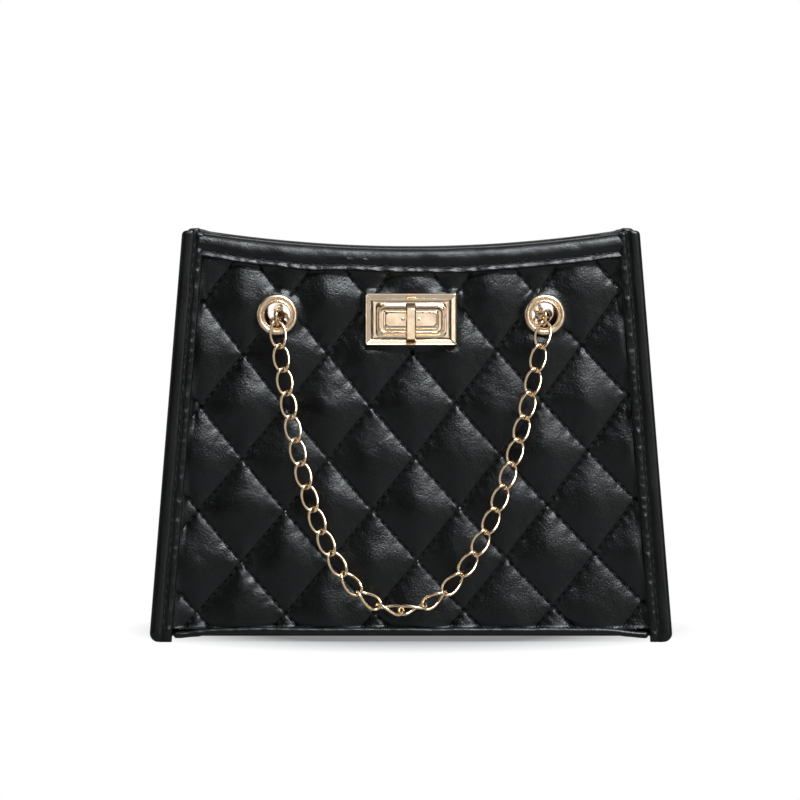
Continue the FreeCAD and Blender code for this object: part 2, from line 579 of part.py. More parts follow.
def hung_link(link, upper, lower, face_normal, roll):
    """A link between two pivots. At roll 0 its own plane is square to face_normal; roll turns it about its length."""
    along = (upper - lower).normalize()
    across = face_normal.cross(along).normalize()
    normal = along.cross(across)
    turned = across * math.cos(math.radians(roll)) + normal * math.sin(math.radians(roll))
    out = link.copy()
    out.Placement = Placement((upper + lower) * 0.5, Rotation(turned, along.cross(turned), along, "ZXY"))
    return out


def catenary(half_span, half_length):
    """The parameter a of the catenary a*cosh(x/a) with this half span and half length."""
    low, high = half_span / 20, half_span * 20
    for _ in range(80):
        middle = (low + high) / 2
        if middle * math.sinh(half_span / middle) > half_length:
            low = middle
        else:
            high = middle
    return middle


def catenary_for_sag(half_span, sag):
    """Half the length of the catenary with this half span and sag."""
    low, high = half_span / 20, half_span * 20
    for _ in range(80):
        middle = (low + high) / 2
        if middle * (math.cosh(half_span / middle) - 1) > sag:
            low = middle
        else:
            high = middle
    return middle * math.sinh(half_span / middle)


HOOK_DROP = EYELET_BORE - LINK_RADIUS - WIRE - HOOK_CLEARANCE  # strap's pivot below the eyelet's centre
HOOK_V = V_EYELET - HOOK_DROP
PIVOT_TO_CHAIN = LINK_RADIUS - 2 * WIRE - LINK_GAP  # hinge line to the end centreline of the strap's first link
FIRST_PIVOT = HOOK_V - PIVOT_TO_CHAIN - WIRE - LINK_GAP / 2


def strap_pivots():
    """Points (u, v) where the strap's links meet: equal steps along a catenary that drifts to one side."""
    half_length = catenary_for_sag(EYELET_SPREAD, FIRST_PIVOT - CHAIN_REACH)
    count = 2 * round(half_length / PITCH)
    bend = catenary(EYELET_SPREAD, count * PITCH / 2)
    sag = bend * (math.cosh(EYELET_SPREAD / bend) - 1)

    def at(step):
        x = bend * math.asinh((step - count / 2) * PITCH / bend)
        depth = sag - bend * (math.cosh(x / bend) - 1)
        return Vector(x + CHAIN_DRIFT * depth / sag, FIRST_PIVOT - depth, CHAIN_STAND_OFF)

    return [at(step) for step in range(count + 1)]


def strap():
    """The outer run of the strap in a panel's frame, as separate links."""
    link = chain_link(LINK_LENGTH)
    pivots = strap_pivots()
    count = len(pivots) - 1
    out = []
    for k in range(count):
        share = min(1.0, max(0.0, 0.5 + (k + 0.5 - count / 2) / ROLLED_LINKS))
        roll = 180 * share * share * (3 - 2 * share)
        out.append(hung_link(link, pivots[k], pivots[k + 1], Vector(0, 0, 1), roll))
    return out


def inner_run(side):
    """The run inside the bag on one side: a link through each eyelet and a nearly taut run between them."""
    hook = Vector(side * EYELET_SPREAD, HOOK_V, CHAIN_STAND_OFF)
    tip = hook + Vector(0, 0, LINK_RADIUS + LINK_GAP / 2 + WIRE - LINK_LENGTH)
    outer = hook + Vector(0, 0, LINK_RADIUS - LINK_GAP / 2 - WIRE)
    inner = tip
    front = [FRONT.multVec(p) for p in (outer, inner)]
    back = [Vector(p.x, -p.y, p.z) for p in front]
    gap = back[1].y - front[1].y
    count = max(2, round(gap / PITCH))
    pitch = gap * INNER_SLACK / count
    low, high = 0.0, math.pi / 3
    for _ in range(60):
        first = (low + high) / 2
        slopes = [first * (1 - 2 * k / (count - 1)) for k in range(count)]
        if sum(math.cos(s) for s in slopes) * pitch > gap:
            low = first
        else:
            high = first
    points = [front[1]]
    for slope in slopes:
        points.append(points[-1] + Vector(0, math.cos(slope), -math.sin(slope)) * pitch)
    link, end_link = chain_link(pitch + 2 * WIRE + LINK_GAP), chain_link(LINK_LENGTH)
    runs = [(end_link, front[0], front[1])] + [(link, a, b) for a, b in zip(points, points[1:])]
    runs.append((end_link, back[1], back[0]))
    # The end links stand on edge where the strap hooks on; the run turns evenly from one to the other.
    first_roll = 90 - LINK_TWIST
    turn = 2 * LINK_TWIST / (len(runs) - 1)
    out = []
    for k, (shape, a, b) in enumerate(runs):
        normal = (a - b).normalize().cross(Vector(1, 0, 0))
        out.append(hung_link(shape, a, b, normal, first_roll + k * turn))
    return out


def build():
    """Every node of the bag, by name."""
    nodes = {}
    for face, placement in FACES.items():
        local = {**panel_layers(face), **eyelets(face)}
        local[f"{face}_chain"] = Part.Compound(strap())
        nodes.update({name: placed(shape, placement) for name, shape in local.items()})
        for name in SIDES:
            edge = placed(binding(panel_side(face, name)), placement)
            nodes[f"{face}_{name}_binding"] = on_floor(edge)
    for name, side in SIDES.items():
        nodes[f"{name}_gusset"] = gusset(side)
        nodes[f"{name}_gusset_lining"], nodes[f"{name}_gusset_facing"] = gusset_inside(side)
        nodes[f"{name}_inner_chain"] = Part.Compound(inner_run(side))
    nodes.update(base_parts())
    nodes.update({name: placed(shape, FRONT) for name, shape in lock_parts().items()})
    nodes["closure_tab"] = closure_tab()
    return nodes


def export(nodes):
    """One STEP file per node."""
    os.makedirs("parts", exist_ok=True)
    for name, shape in nodes.items():
        shape.exportStep(f"parts/{name}.step")


NODES = build()
export(NODES)
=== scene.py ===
"""Looks of a small quilted shoulder bag with a chain strap and a turn lock.

Lengths are millimetres until a mesh is written, and metres in the scene. Most pieces are worked out in
a panel's own frame: u across it, v up it and w out of it, with the quilting's crowns at w = 0. The
back panel is the front one turned half a turn about Z.
"""
import json
import logging
import math
from dataclasses import dataclass, field
from enum import Enum
from functools import cached_property
from typing import Callable, Optional, Sequence

import bpy
import numpy as np
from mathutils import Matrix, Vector
from mathutils.geometry import delaunay_2d_cdt


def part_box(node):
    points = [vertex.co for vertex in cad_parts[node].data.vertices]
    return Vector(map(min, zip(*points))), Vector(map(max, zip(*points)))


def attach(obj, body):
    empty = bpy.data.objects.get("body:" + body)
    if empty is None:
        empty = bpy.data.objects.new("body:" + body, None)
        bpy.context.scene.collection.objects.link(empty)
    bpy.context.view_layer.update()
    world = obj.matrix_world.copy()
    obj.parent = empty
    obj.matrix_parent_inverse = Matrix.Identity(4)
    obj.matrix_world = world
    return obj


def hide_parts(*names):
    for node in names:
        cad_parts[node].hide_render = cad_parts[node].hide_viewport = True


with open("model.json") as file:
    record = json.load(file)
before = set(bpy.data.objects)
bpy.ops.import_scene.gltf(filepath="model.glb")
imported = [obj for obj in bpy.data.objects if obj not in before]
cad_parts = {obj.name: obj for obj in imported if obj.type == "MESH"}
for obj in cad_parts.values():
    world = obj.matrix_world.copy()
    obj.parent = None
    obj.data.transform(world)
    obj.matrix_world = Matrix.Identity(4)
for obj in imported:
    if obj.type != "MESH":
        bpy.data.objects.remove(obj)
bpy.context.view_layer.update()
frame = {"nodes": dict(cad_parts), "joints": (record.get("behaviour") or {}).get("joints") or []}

MM = 0.001
SOFT = 120.0  # degrees: the crease angle of pieces that have no hard edges
LOG = logging.getLogger("bag")
Array = np.ndarray


class Face(Enum):
    """The two quilted faces of the bag."""

    FRONT = "front"
    BACK = "back"


class Side(Enum):
    """The bag's two sides, seen from the front; the value is the sign of X."""

    LEFT = -1
    RIGHT = 1


class Stitching(Enum):
    """How a row of stitches is sewn: (pitch, length, width) in millimetres."""

    QUILT = (3.82, 2.5, 0.46)
    HEM = (5.6, 3.6, 0.7)
    EDGE = (4.6, 3.2, 0.6)


# ---- numbers that every piece shares ----
def smoothstep(x: Array) -> Array:
    """0 below 0, 1 above 1, and 3x^2 - 2x^3 between.

    Args:
        x: Where to work it out.

    Returns:
        The eased values, shaped like x.
    """
    t = np.clip(x, 0.0, 1.0)
    return t * t * (3 - 2 * t)


def ripples(x: Array, y: Array, wavelength: float, seed: int, waves: int = 14) -> Array:
    """Soft random relief: a sum of plane waves in random directions, each near one wavelength.

    Args:
        x: First coordinate.
        y: Second coordinate, shaped like x.
        wavelength: Typical distance from crest to crest.
        seed: Which pattern.
        waves: How many plane waves are added.

    Returns:
        Heights with a spread of about 1.
    """
    random = np.random.default_rng(seed)
    total = np.zeros(np.broadcast(x, y).shape)
    for angle, stretch, phase in zip(random.uniform(0, math.tau, waves), random.uniform(0.7, 1.5, waves),
                                     random.uniform(0, math.tau, waves)):
        k = math.tau / (wavelength * stretch)
        total += np.cos(k * (x * math.cos(angle) + y * math.sin(angle)) + phase)
    return total * math.sqrt(2.0 / waves)


def closed_spline(points: Sequence[tuple[float, float]], count: int) -> Array:
    """A smooth closed line through points: a uniform Catmull-Rom spline.

    Args:
        points: Corner points (x, y), in order round the line.
        count: How many points to return, evenly spread over the parameter.

    Returns:
        Array (count, 2).
    """
    p = np.array(points, float)
    t = np.linspace(0, len(p), count, endpoint=False)
    i = t.astype(int)
    f = (t - i)[:, None]
    a, b, c, d = (p[(i + k) % len(p)] for k in (-1, 0, 1, 2))
    return 0.5 * (2 * b + (c - a) * f + (2 * a - 5 * b + 4 * c - d) * f**2 + (3 * b - a - 3 * c + d) * f**3)


def rounded_rectangle(half_width: float, half_height: float, radius: float, per_corner: int = 6) -> Array:
    """A rectangle with round corners, anticlockwise from the right-hand side's lower end.

    Args:
        half_width: Half its width.
        half_height: Half its height.
        radius: Corner radius.
        per_corner: Points in each corner.

    Returns:
        Array (4 * per_corner, 2).
    """
    quarter = np.linspace(0, math.pi / 2, per_corner)
    angle = quarter[None, :] + np.arange(4)[:, None] * math.pi / 2 - math.pi / 2
    centre_x = (half_width - radius) * np.array([1, 1, -1, -1])[:, None]
    centre_y = (half_height - radius) * np.array([-1, 1, 1, -1])[:, None]
    return np.stack([centre_x + radius * np.cos(angle), centre_y + radius * np.sin(angle)], -1).reshape(-1, 2)


def halved(too_low: Callable[[float], bool], low: float, high: float, halvings: int = 80) -> float:
    """The value at which a test stops being true, by halving an interval.

    Args:
        too_low: The test, true below the value.
        low: The interval's lower end.
        high: Its upper end.
        halvings: How many times it is halved.

    Returns:
        The value.
    """
    for _ in range(halvings):
        middle = (low + high) / 2
        if too_low(middle):
            low = middle
        else:
            high = middle
    return middle


# ---- patches: arrays of points and the faces between them ----
@dataclass
class Patch:
    """Points in millimetres with four-sided faces, and a few faces of other shapes.

    Attributes:
        points: Array (n, 3).
        quads: Array (m, 4) of point numbers.
        others: Faces with any number of corners.
    """

    points: Array
    quads: Array
    others: list[list[int]] = field(default_factory=list)

    @property
    def volume(self) -> float:
        """Signed volume, by summing tetrahedra from the origin over the faces."""
        p = self.points
        a, b, c, d = (p[self.quads[:, k]] for k in range(4))
        total = np.einsum("ij,ij->", a, np.cross(b, c)) + np.einsum("ij,ij->", a, np.cross(c, d))
        for loop in self.others:
            q = p[loop]
            total += np.einsum("ij,ij->", np.broadcast_to(q[0], q[1:-1].shape), np.cross(q[1:-1], q[2:]))
        return float(total) / 6

    def outward(self) -> "Patch":
        """This closed patch with its faces turned to point outwards."""
        if self.volume < 0:
            self.quads = self.quads[:, ::-1]
            self.others = [loop[::-1] for loop in self.others]
        return self


def joined(patches: Sequence[Patch]) -> Patch:
    """Several patches as one.

    Args:
        patches: The patches, which keep their own points.

    Returns:
        One patch.
    """
    starts = np.cumsum([0] + [len(p.points) for p in patches])
    others = [[i + int(s) for i in loop] for p, s in zip(patches, starts) for loop in p.others]
    quads = np.concatenate([p.quads + s for p, s in zip(patches, starts)])
    return Patch(np.concatenate([p.points for p in patches]), quads, others)


def cells(values: Array) -> Array:
    """What the corners of each cell of a grid hold, in order round it: array (rows - 1, columns - 1, 4)."""
    return np.stack([values[:-1, :-1], values[:-1, 1:], values[1:, 1:], values[1:, :-1]], -1)


def grid(points: Array, ring: bool = False, loop: bool = False, caps: bool = False) -> Patch:
    """A surface of two parameters as faces between neighbouring rows and columns.

    Args:
        points: Array (rows, columns, 3).
        ring: Whether the last row meets the first.
        loop: Whether the last column meets the first.
        caps: Whether the first and last rows are each closed by one flat face.

    Returns:
        The patch.
    """
    rows, columns = points.shape[:2]
    index = np.arange(rows * columns).reshape(rows, columns)
    if ring:
        index = np.concatenate([index, index[:1]])
    if loop:
        index = np.concatenate([index, index[:, :1]], axis=1)
    others = []
    if caps:
        last = (rows - 1) * columns
        others = [list(range(columns))[::-1], list(range(last, last + columns))]
    return Patch(points.reshape(-1, 3), cells(index).reshape(-1, 4), others)


def shell(outer: Array, inner: Array) -> Patch:
    """A closed sheet between two surfaces of the same size, joined round their edge.

    Args:
        outer: Array (rows, columns, 3).
        inner: The same points on the other face.

    Returns:
        The closed patch, facing outwards.
    """
    rows, columns = outer.shape[:2]
    first, second = grid(outer), grid(inner)
    start = rows * columns
    index = np.arange(start).reshape(rows, columns)
    rim = np.concatenate([index[0, :-1], index[:-1, -1], index[-1, :0:-1], index[:0:-1, 0]])
    following = np.roll(rim, -1)
    wall = np.stack([following, rim, rim + start, following + start], -1)
    quads = np.concatenate([first.quads, second.quads[:, ::-1] + start, wall])
    return Patch(np.concatenate([first.points, second.points]), quads).outward()


def tube(line: Array, side: Array, radius: Array, around: int, closed: bool = False) -> Patch:
    """A round tube: rings of points about a line, each square to it.

    Args:
        line: Centre line, array (n, 3).
        side: A direction across the line at each point, array (n, 3).
        radius: Radius at each point, array (n,).
        around: Points in a ring.
        closed: Whether the line ends where it starts; otherwise the ends are capped.

    Returns:
        The closed patch, facing outwards.
    """
    ahead = np.roll(line, -1, 0) - np.roll(line, 1, 0)
    if not closed:
        ahead[0], ahead[-1] = line[1] - line[0], line[-1] - line[-2]
    ahead /= np.linalg.norm(ahead, axis=1, keepdims=True)
    first = side - np.sum(side * ahead, axis=1, keepdims=True) * ahead
    first /= np.linalg.norm(first, axis=1, keepdims=True)
    second = np.cross(ahead, first)
    angle = np.linspace(0, math.tau, around, endpoint=False)[None, :, None]
    ring = first[:, None] * np.cos(angle) + second[:, None] * np.sin(angle)
    points = line[:, None] + ring * radius[:, None, None]
    return grid(points, ring=closed, loop=True, caps=not closed).outward()


# ---- scene objects ----
@dataclass
class Piece:
    """One shown mesh, and how it takes its place in the bag.

    Attributes:
        name: Its name.
        patch: Its faces.
        material: Its finish.
        slot: The record's material slot; not used.
        body: The moving body that carries it.
        stands_for: CAD nodes that it replaces.
        crease_deg: Edges sharper than this are shaded sharp.
        bevel: Width of a bevel on its edges, or 0.
        machined: Whether large faces are shaded flat and only the small ones between them are rounded.
    """

    name: str
    patch: Patch
    material: bpy.types.Material
    slot: str
    body: str = "bag"
    stands_for: tuple[str, ...] = ()
    crease_deg: float = 50.0
    bevel: float = 0.0
    machined: bool = False

    def add(self) -> bpy.types.Object:
        """Puts the piece into the scene.

        Returns:
            The new object.
        """
        mesh = bpy.data.meshes.new(self.name)
        faces = [*self.patch.quads.tolist(), *self.patch.others]
        mesh.from_pydata((self.patch.points * MM).tolist(), [], faces)
        mesh.polygons.foreach_set("use_smooth", np.ones(len(mesh.polygons), bool))
        mesh.set_sharp_from_angle(angle=math.radians(self.crease_deg))
        mesh.materials.append(self.material)
        mesh.update()
        obj = bpy.data.objects.new(self.name, mesh)
        bpy.context.scene.collection.objects.link(obj)
        if self.bevel:
            rounding = obj.modifiers.new("rounding", "BEVEL")
            rounding.width = self.bevel * MM
            rounding.segments = 2
            rounding.limit_method = "ANGLE"
            rounding.angle_limit = math.radians(self.crease_deg)
        if self.machined:
            flats = obj.modifiers.new("flat faces stay flat", "WEIGHTED_NORMAL")
            flats.keep_sharp = True
        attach(obj, self.body)
        if self.stands_for:
            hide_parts(*self.stands_for)
        LOG.info("%s: %d faces on %s", self.name, len(faces), self.body)
        return obj


# ---- the bag's form ----
@dataclass(frozen=True)
class BagForm:
    """The bag's outline, and where a panel's own frame stands.

    Attributes:
        width_foot: Width across the side bindings at the floor.
        width_rim: Width across them at the top corners.
        height: Floor to top corners.
        rim_dip: How far the rim's middle lies below its corners.
        depth_foot: Depth over the quilted faces at their feet.
        depth_rim: Depth at the top corners.
        panel_foot: Height of the panels' feet above the floor.
        stack: Thickness of a panel.
        roll: Width of the binding's outer roll.
        tape: Width of the whole binding.
        gusset: Thickness of the side leather.
        fold: How far the sides tuck in at the rim.
        hem: Height of the folded rim.
        hem_seam: How far below the rim its stitches run.
        seam_lap: How far inside the roll a panel's sheets end.
    """

    width_foot: float = 236.0
    width_rim: float = 207.0
    height: float = 184.5
    rim_dip: float = 8.5
    depth_foot: float = 80.0
    depth_rim: float = 40.0
    panel_foot: float = 4.5
    stack: float = 4.6
    roll: float = 6.0
    tape: float = 10.5
    gusset: float = 1.2
    fold: float = 12.0
    hem: float = 10.0
    hem_seam: float = 8.1
    seam_lap: float = 1.6

    @property
    def sewn_edge(self) -> float:
        """Distance from the bag's side edge to the edge of a panel's sheets."""
        return self.roll + self.seam_lap

    @cached_property
    def lean(self) -> float:
        """How far a panel leans in, in radians."""
        return math.atan2((self.depth_foot - self.depth_rim) / 2, self.height - self.panel_foot)

    @cached_property
    def v_corner(self) -> float:
        """The top corners' height up a panel."""
        return (self.height - self.panel_foot) / math.cos(self.lean)

    @cached_property
    def rim_radius(self) -> float:
        """Radius of the rim's curve in the panel."""
        dip, chord = self.rim_dip / math.cos(self.lean), float(self.half_width(self.v_corner))
        return (chord**2 + dip**2) / (2 * dip)

    def half_width(self, v: Array) -> Array:
        """Half the bag's width at height v up a panel."""
        z = self.panel_foot + v * math.cos(self.lean)
        return (self.width_foot - (self.width_foot - self.width_rim) * z / self.height) / 2

    def rim(self, u: Array, drop: Array = 0.0) -> Array:
        """Height of the rim's curve at u, drop below it along its radius."""
        centre = self.v_corner - self.rim_dip / math.cos(self.lean) + self.rim_radius
        return centre - np.sqrt((self.rim_radius + drop) ** 2 - np.square(u))

    def up_panel(self, z: float) -> float:
        """The height up a panel of a height z above the floor."""
        return (z - self.panel_foot) / math.cos(self.lean)

    def place(self, u: Array, v: Array, w: Array, face: Face) -> Array:
        """Points of a panel's frame as points of the bag.

        Args:
            u: Across the panel.
            v: Up the panel.
            w: Out of the panel.
            face: Which panel.

        Returns:
            Array with a last axis of 3.
        """
        u, v, w = np.broadcast_arrays(u, v, w)
        sin, cos = math.sin(self.lean), math.cos(self.lean)
        y = -self.depth_foot / 2 + v * sin - w * cos
        z = self.panel_foot + v * cos + w * sin
        turn = 1 if face is Face.FRONT else -1
        return np.stack([u * turn, y * turn, z], -1)

    def outward(self, face: Face, sign: float = 1.0) -> Array:
        """The direction out of a panel, or with sign -1 the direction into the bag."""
        return self.place(0.0, 0.0, sign, face) - self.place(0.0, 0.0, 0.0, face)

    def panel_side(self, side: Side, face: Face) -> int:
        """The sign of u at the bag's left or right: the back panel is turned round."""
        return side.value if face is Face.FRONT else -side.value


@dataclass(frozen=True)
class Fittings:
    """Where the metalwork sits in the front panel's frame, read from the CAD frame.

    Attributes:
        eyelet_u: Distance of an eyelet's centre from the middle.
        eyelet_v: Its height up the panel.
        lock_v: Height of the lock's centre up the panel.
        hook_v: Height of the strap's pivot up the panel.
        hook_w: How far the strap's pivot stands out of the panel.
    """

    eyelet_u: float
    eyelet_v: float
    lock_v: float
    hook_v: float
    hook_w: float

    @classmethod
    def read(cls, form: BagForm) -> "Fittings":
        """Reads the places from the CAD nodes' boxes and the joints.

        Args:
            form: The bag's form.

        Returns:
            The places.
        """
        low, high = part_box("front_right_eyelet")
        joints = {j["name"]: np.array(j["pos_m"]) / MM for j in frame["joints"]}
        sin, cos = math.sin(form.lean), math.cos(form.lean)

        def across(point: Array) -> tuple[float, float]:
            """(v, w) of a point of the bag."""
            y, z = point[1] + form.depth_foot / 2, point[2] - form.panel_foot
            return float(y * sin + z * cos), float(z * sin - y * cos)

        hook_v, hook_w = across(joints["front_strap_swing"])
        return cls(eyelet_u=(low.x + high.x) / 2 / MM, eyelet_v=form.up_panel((low.z + high.z) / 2 / MM),
                   lock_v=across(joints["lock_toggle_turn"])[0], hook_v=hook_v, hook_w=hook_w)


# ---- materials ----
class Wiring:
    """Short ways to add and join a material's nodes."""

    def __init__(self, tree: bpy.types.NodeTree) -> None:
        """Starts on a node tree."""
        self.tree = tree

    def feed(self, socket: bpy.types.NodeSocket, value: object) -> None:
        """Joins an output socket to a socket, or gives it a plain value."""
        if isinstance(value, bpy.types.NodeSocket):
            self.tree.links.new(value, socket)
        else:
            socket.default_value = value

    def node(self, kind: str, inputs: Optional[dict] = None, **settings) -> bpy.types.Node:
        """Adds a node.

        Args:
            kind: Its type.
            inputs: Values, or output sockets to join, by input name or number.
            **settings: Properties of the node.

        Returns:
            The node.
        """
        made = self.tree.nodes.new(kind)
        for name, value in settings.items():
            setattr(made, name, value)
        for key, value in (inputs or {}).items():
            self.feed(made.inputs[key], value)
        return made

    def math(self, operation: str, a: object, b: object = 0.0) -> bpy.types.NodeSocket:
        """The result of a Math node."""
        return self.node("ShaderNodeMath", {0: a, 1: b}, operation=operation).outputs[0]

    def span(self, value: object, low: float, high: float, to_low: float = 0.0,
             to_high: float = 1.0) -> bpy.types.NodeSocket:
        """A value carried from one span to another, clamped."""
        return self.node("ShaderNodeMapRange", {"Value": value, "From Min": low, "From Max": high,
                                                "To Min": to_low, "To Max": to_high}).outputs[0]

    def blend(self, share: object, a: object, b: object) -> bpy.types.NodeSocket:
        """A mix of two colours."""
        mix = self.node("ShaderNodeMix", data_type="RGBA")
        for socket, value in ((mix.inputs[0], share), (mix.inputs[6], a), (mix.inputs[7], b)):
            self.feed(socket, value)
        return mix.outputs[2]


def make_group(name: str, inputs: Sequence[tuple[str, str, object]], outputs: Sequence[tuple[str, str]]
               ) -> tuple[bpy.types.NodeTree, Wiring, bpy.types.Node, bpy.types.Node]:
    """An empty shader node group.

    Args:
        name: Its name.
        inputs: (name, socket type, default) of each input.
        outputs: (name, socket type) of each output.

    Returns:
        The group, its wiring, its input node and its output node.
    """
    tree = bpy.data.node_groups.new(name, "ShaderNodeTree")
    for label, kind, value in inputs:
        socket = tree.interface.new_socket(name=label, in_out="INPUT", socket_type=kind)
        if value is not None:
            socket.default_value = value
    for label, kind in outputs:
        tree.interface.new_socket(name=label, in_out="OUTPUT", socket_type=kind)
    wiring = Wiring(tree)
    return tree, wiring, wiring.node("NodeGroupInput"), wiring.node("NodeGroupOutput")


class Effects:
    """Node groups that several finishes share."""

    DUST_COLOR = (0.3, 0.3, 0.3, 1)

    def __init__(self) -> None:
        """Builds the groups once."""
        self.grain = self._grain()
        self.marks = self._marks()
        self.dust = self._dust()

    def _grain(self) -> bpy.types.NodeTree:
        """Leather grain: small pebbles, finer pores, and shallow creases between larger plates."""
        tree, w, given, out = make_group(
            "leather_grain",
            [("Position", "NodeSocketVector", None), ("Pebble", "NodeSocketFloat", 1.1),
             ("Crease", "NodeSocketFloat", 0.3), ("Crease size", "NodeSocketFloat", 0.16)],
            [("Height", "NodeSocketFloat"), ("Mottle", "NodeSocketFloat")])
        position = given.outputs["Position"]
        bend = w.node("ShaderNodeTexNoise", {"Vector": position, "Scale": 0.35, "Detail": 3.0})
        shifted = w.node("ShaderNodeVectorMath", {0: bend.outputs["Color"], 1: (0.5, 0.5, 0.5)},
                         operation="SUBTRACT")
        warp = w.node("ShaderNodeVectorMath", {0: shifted.outputs[0], 3: 3.0}, operation="SCALE")
        warped = w.node("ShaderNodeVectorMath", {0: position, 1: warp.outputs[0]}, operation="ADD").outputs[0]
        pebble = w.node("ShaderNodeTexVoronoi", {"Vector": warped, "Scale": given.outputs["Pebble"]},
                        feature="SMOOTH_F1")
        crease = w.node("ShaderNodeTexVoronoi", {"Vector": warped, "Scale": given.outputs["Crease size"]},
                        feature="DISTANCE_TO_EDGE")
        line = w.span(crease.outputs["Distance"], 0.0, 0.09, 0.0, 1.0)
        pores = w.node("ShaderNodeTexNoise",
                       {"Vector": position, "Scale": 3.2, "Detail": 4.0, "Roughness": 0.65})
        lumps = w.math("MULTIPLY", pebble.outputs["Distance"], -0.8)
        height = w.math("ADD", lumps, w.math("MULTIPLY", pores.outputs[0], 0.5))
        height = w.math("ADD", height, w.math("MULTIPLY", line, given.outputs["Crease"]))
        mottle = w.node("ShaderNodeTexNoise", {"Vector": position, "Scale": 0.045, "Detail": 3.0})
        w.tree.links.new(height, out.inputs["Height"])
        w.tree.links.new(w.span(mottle.outputs[0], 0.3, 0.7), out.inputs["Mottle"])
        return tree

    def _marks(self) -> bpy.types.NodeTree:
        """Handling marks on polished metal: fine hairlines in two directions, and soft smears."""
        tree, w, given, out = make_group(
            "polish_marks", [("Position", "NodeSocketVector", None), ("Fineness", "NodeSocketFloat", 1.0)],
            [("Height", "NodeSocketFloat"), ("Smear", "NodeSocketFloat")])
        position = given.outputs["Position"]
        hairs = []
        for turn, stretch in ((0.3, (9.0, 0.5, 0.5)), (-0.9, (0.5, 8.0, 0.6))):
            along = w.node("ShaderNodeMapping",
                           {"Vector": position, "Rotation": (turn, 0.4, turn), "Scale": stretch})
            scaled = w.node("ShaderNodeVectorMath", {0: along.outputs[0], 3: given.outputs["Fineness"]},
                            operation="SCALE").outputs[0]
            hairs.append(w.node("ShaderNodeTexNoise", {"Vector": scaled, "Scale": 1.0, "Detail": 2.0}))
        both = w.math("ADD", hairs[0].outputs[0], hairs[1].outputs[0])
        smear = w.node("ShaderNodeTexNoise", {"Vector": position, "Scale": 0.22, "Detail": 4.0})
        w.tree.links.new(both, out.inputs["Height"])
        w.tree.links.new(w.span(smear.outputs[0], 0.35, 0.7), out.inputs["Smear"])
        return tree

    def _dust(self) -> bpy.types.NodeTree:
        """Faint settled dust: thicker on what faces up, broken into specks."""
        tree, w, given, out = make_group(
            "settled_dust", [("Position", "NodeSocketVector", None), ("Amount", "NodeSocketFloat", 0.1)],
            [("Mask", "NodeSocketFloat")])
        normal = w.node("ShaderNodeNewGeometry").outputs["Normal"]
        upward = w.node("ShaderNodeSeparateXYZ", {0: normal}).outputs[2]
        specks = w.node("ShaderNodeTexNoise",
                        {"Vector": given.outputs["Position"], "Scale": 0.7, "Detail": 5.0})
        shade = w.math("MULTIPLY", w.span(upward, 0.1, 1.0), w.span(specks.outputs[0], 0.4, 0.7))
        w.tree.links.new(w.math("MULTIPLY", shade, given.outputs["Amount"]), out.inputs["Mask"])
        return tree

    def dusted(self, wiring: Wiring, position: bpy.types.NodeSocket, tone: object, amount: float
               ) -> bpy.types.NodeSocket:
        """A colour under an amount of settled dust."""
        dust = use_group(wiring, self.dust, Position=position, Amount=amount)
        return wiring.blend(dust.outputs["Mask"], tone, self.DUST_COLOR)


def start_material(name: str) -> tuple[bpy.types.Material, Wiring, bpy.types.Node, bpy.types.NodeSocket]:
    """A new material with its shader and its position in millimetres.

    Args:
        name: The material's name.

    Returns:
        The material, its wiring, its Principled shader and the position socket.
    """
    material = bpy.data.materials.new(name)
    material.use_nodes = True
    wiring = Wiring(material.node_tree)
    shader = material.node_tree.nodes["Principled BSDF"]
    coordinates = wiring.node("ShaderNodeTexCoord").outputs["Object"]
    position = wiring.node("ShaderNodeVectorMath", {0: coordinates, 3: 1 / MM}, operation="SCALE")
    return material, wiring, shader, position.outputs[0]


def use_group(wiring: Wiring, tree: bpy.types.NodeTree, **inputs) -> bpy.types.Node:
    """Places a node group with its own values; an underscore in a name stands for a space."""
    made = wiring.node("ShaderNodeGroup", node_tree=tree)
    for name, value in inputs.items():
        wiring.feed(made.inputs[name.replace("_", " ")], value)
    return made


def bump(wiring: Wiring, shader: bpy.types.Node, height: bpy.types.NodeSocket, depth: float) -> None:
    """Feeds a height in millimetres, times depth, to the shader's normal."""
    made = wiring.node("ShaderNodeBump", {"Height": height, "Distance": depth * MM, "Strength": 1.0})
    wiring.tree.links.new(made.outputs[0], shader.inputs["Normal"])


@dataclass(frozen=True)
class Leather:
    """Coated black leather.

    Attributes:
        name: The material's name.
        color: Its darkest colour.
        worn: Its lightest colour, where it is mottled.
        shine: (least, most) roughness.
        pebble: Pebbles to the millimetre.
        depth: Height of the grain in millimetres.
        crease: How much deeper than a pebble a crease is.
        gloss: Strength of its reflections.
        dust: Dust on what faces up.
    """

    name: str
    color: tuple[float, float, float] = (0.0004, 0.0004, 0.0004)
    worn: tuple[float, float, float] = (0.0008, 0.0009, 0.0009)
    shine: tuple[float, float] = (0.25, 0.35)
    pebble: float = 1.15
    depth: float = 0.12
    crease: float = 0.06
    gloss: float = 0.32
    dust: float = 0.003

    def build(self, effects: Effects) -> bpy.types.Material:
        """Builds the material.

        Args:
            effects: The shared node groups.

        Returns:
            The material.
        """
        material, w, shader, position = start_material(self.name)
        grain = use_group(w, effects.grain, Position=position, Pebble=self.pebble, Crease=self.crease)
        mottle = grain.outputs["Mottle"]
        tone = w.blend(mottle, (*self.color, 1), (*self.worn, 1))
        w.feed(shader.inputs["Base Color"], effects.dusted(w, position, tone, self.dust))
        w.tree.links.new(w.span(mottle, 0.0, 1.0, *self.shine), shader.inputs["Roughness"])
        shader.inputs["Specular IOR Level"].default_value = self.gloss
        bump(w, shader, grain.outputs["Height"], self.depth)
        return material


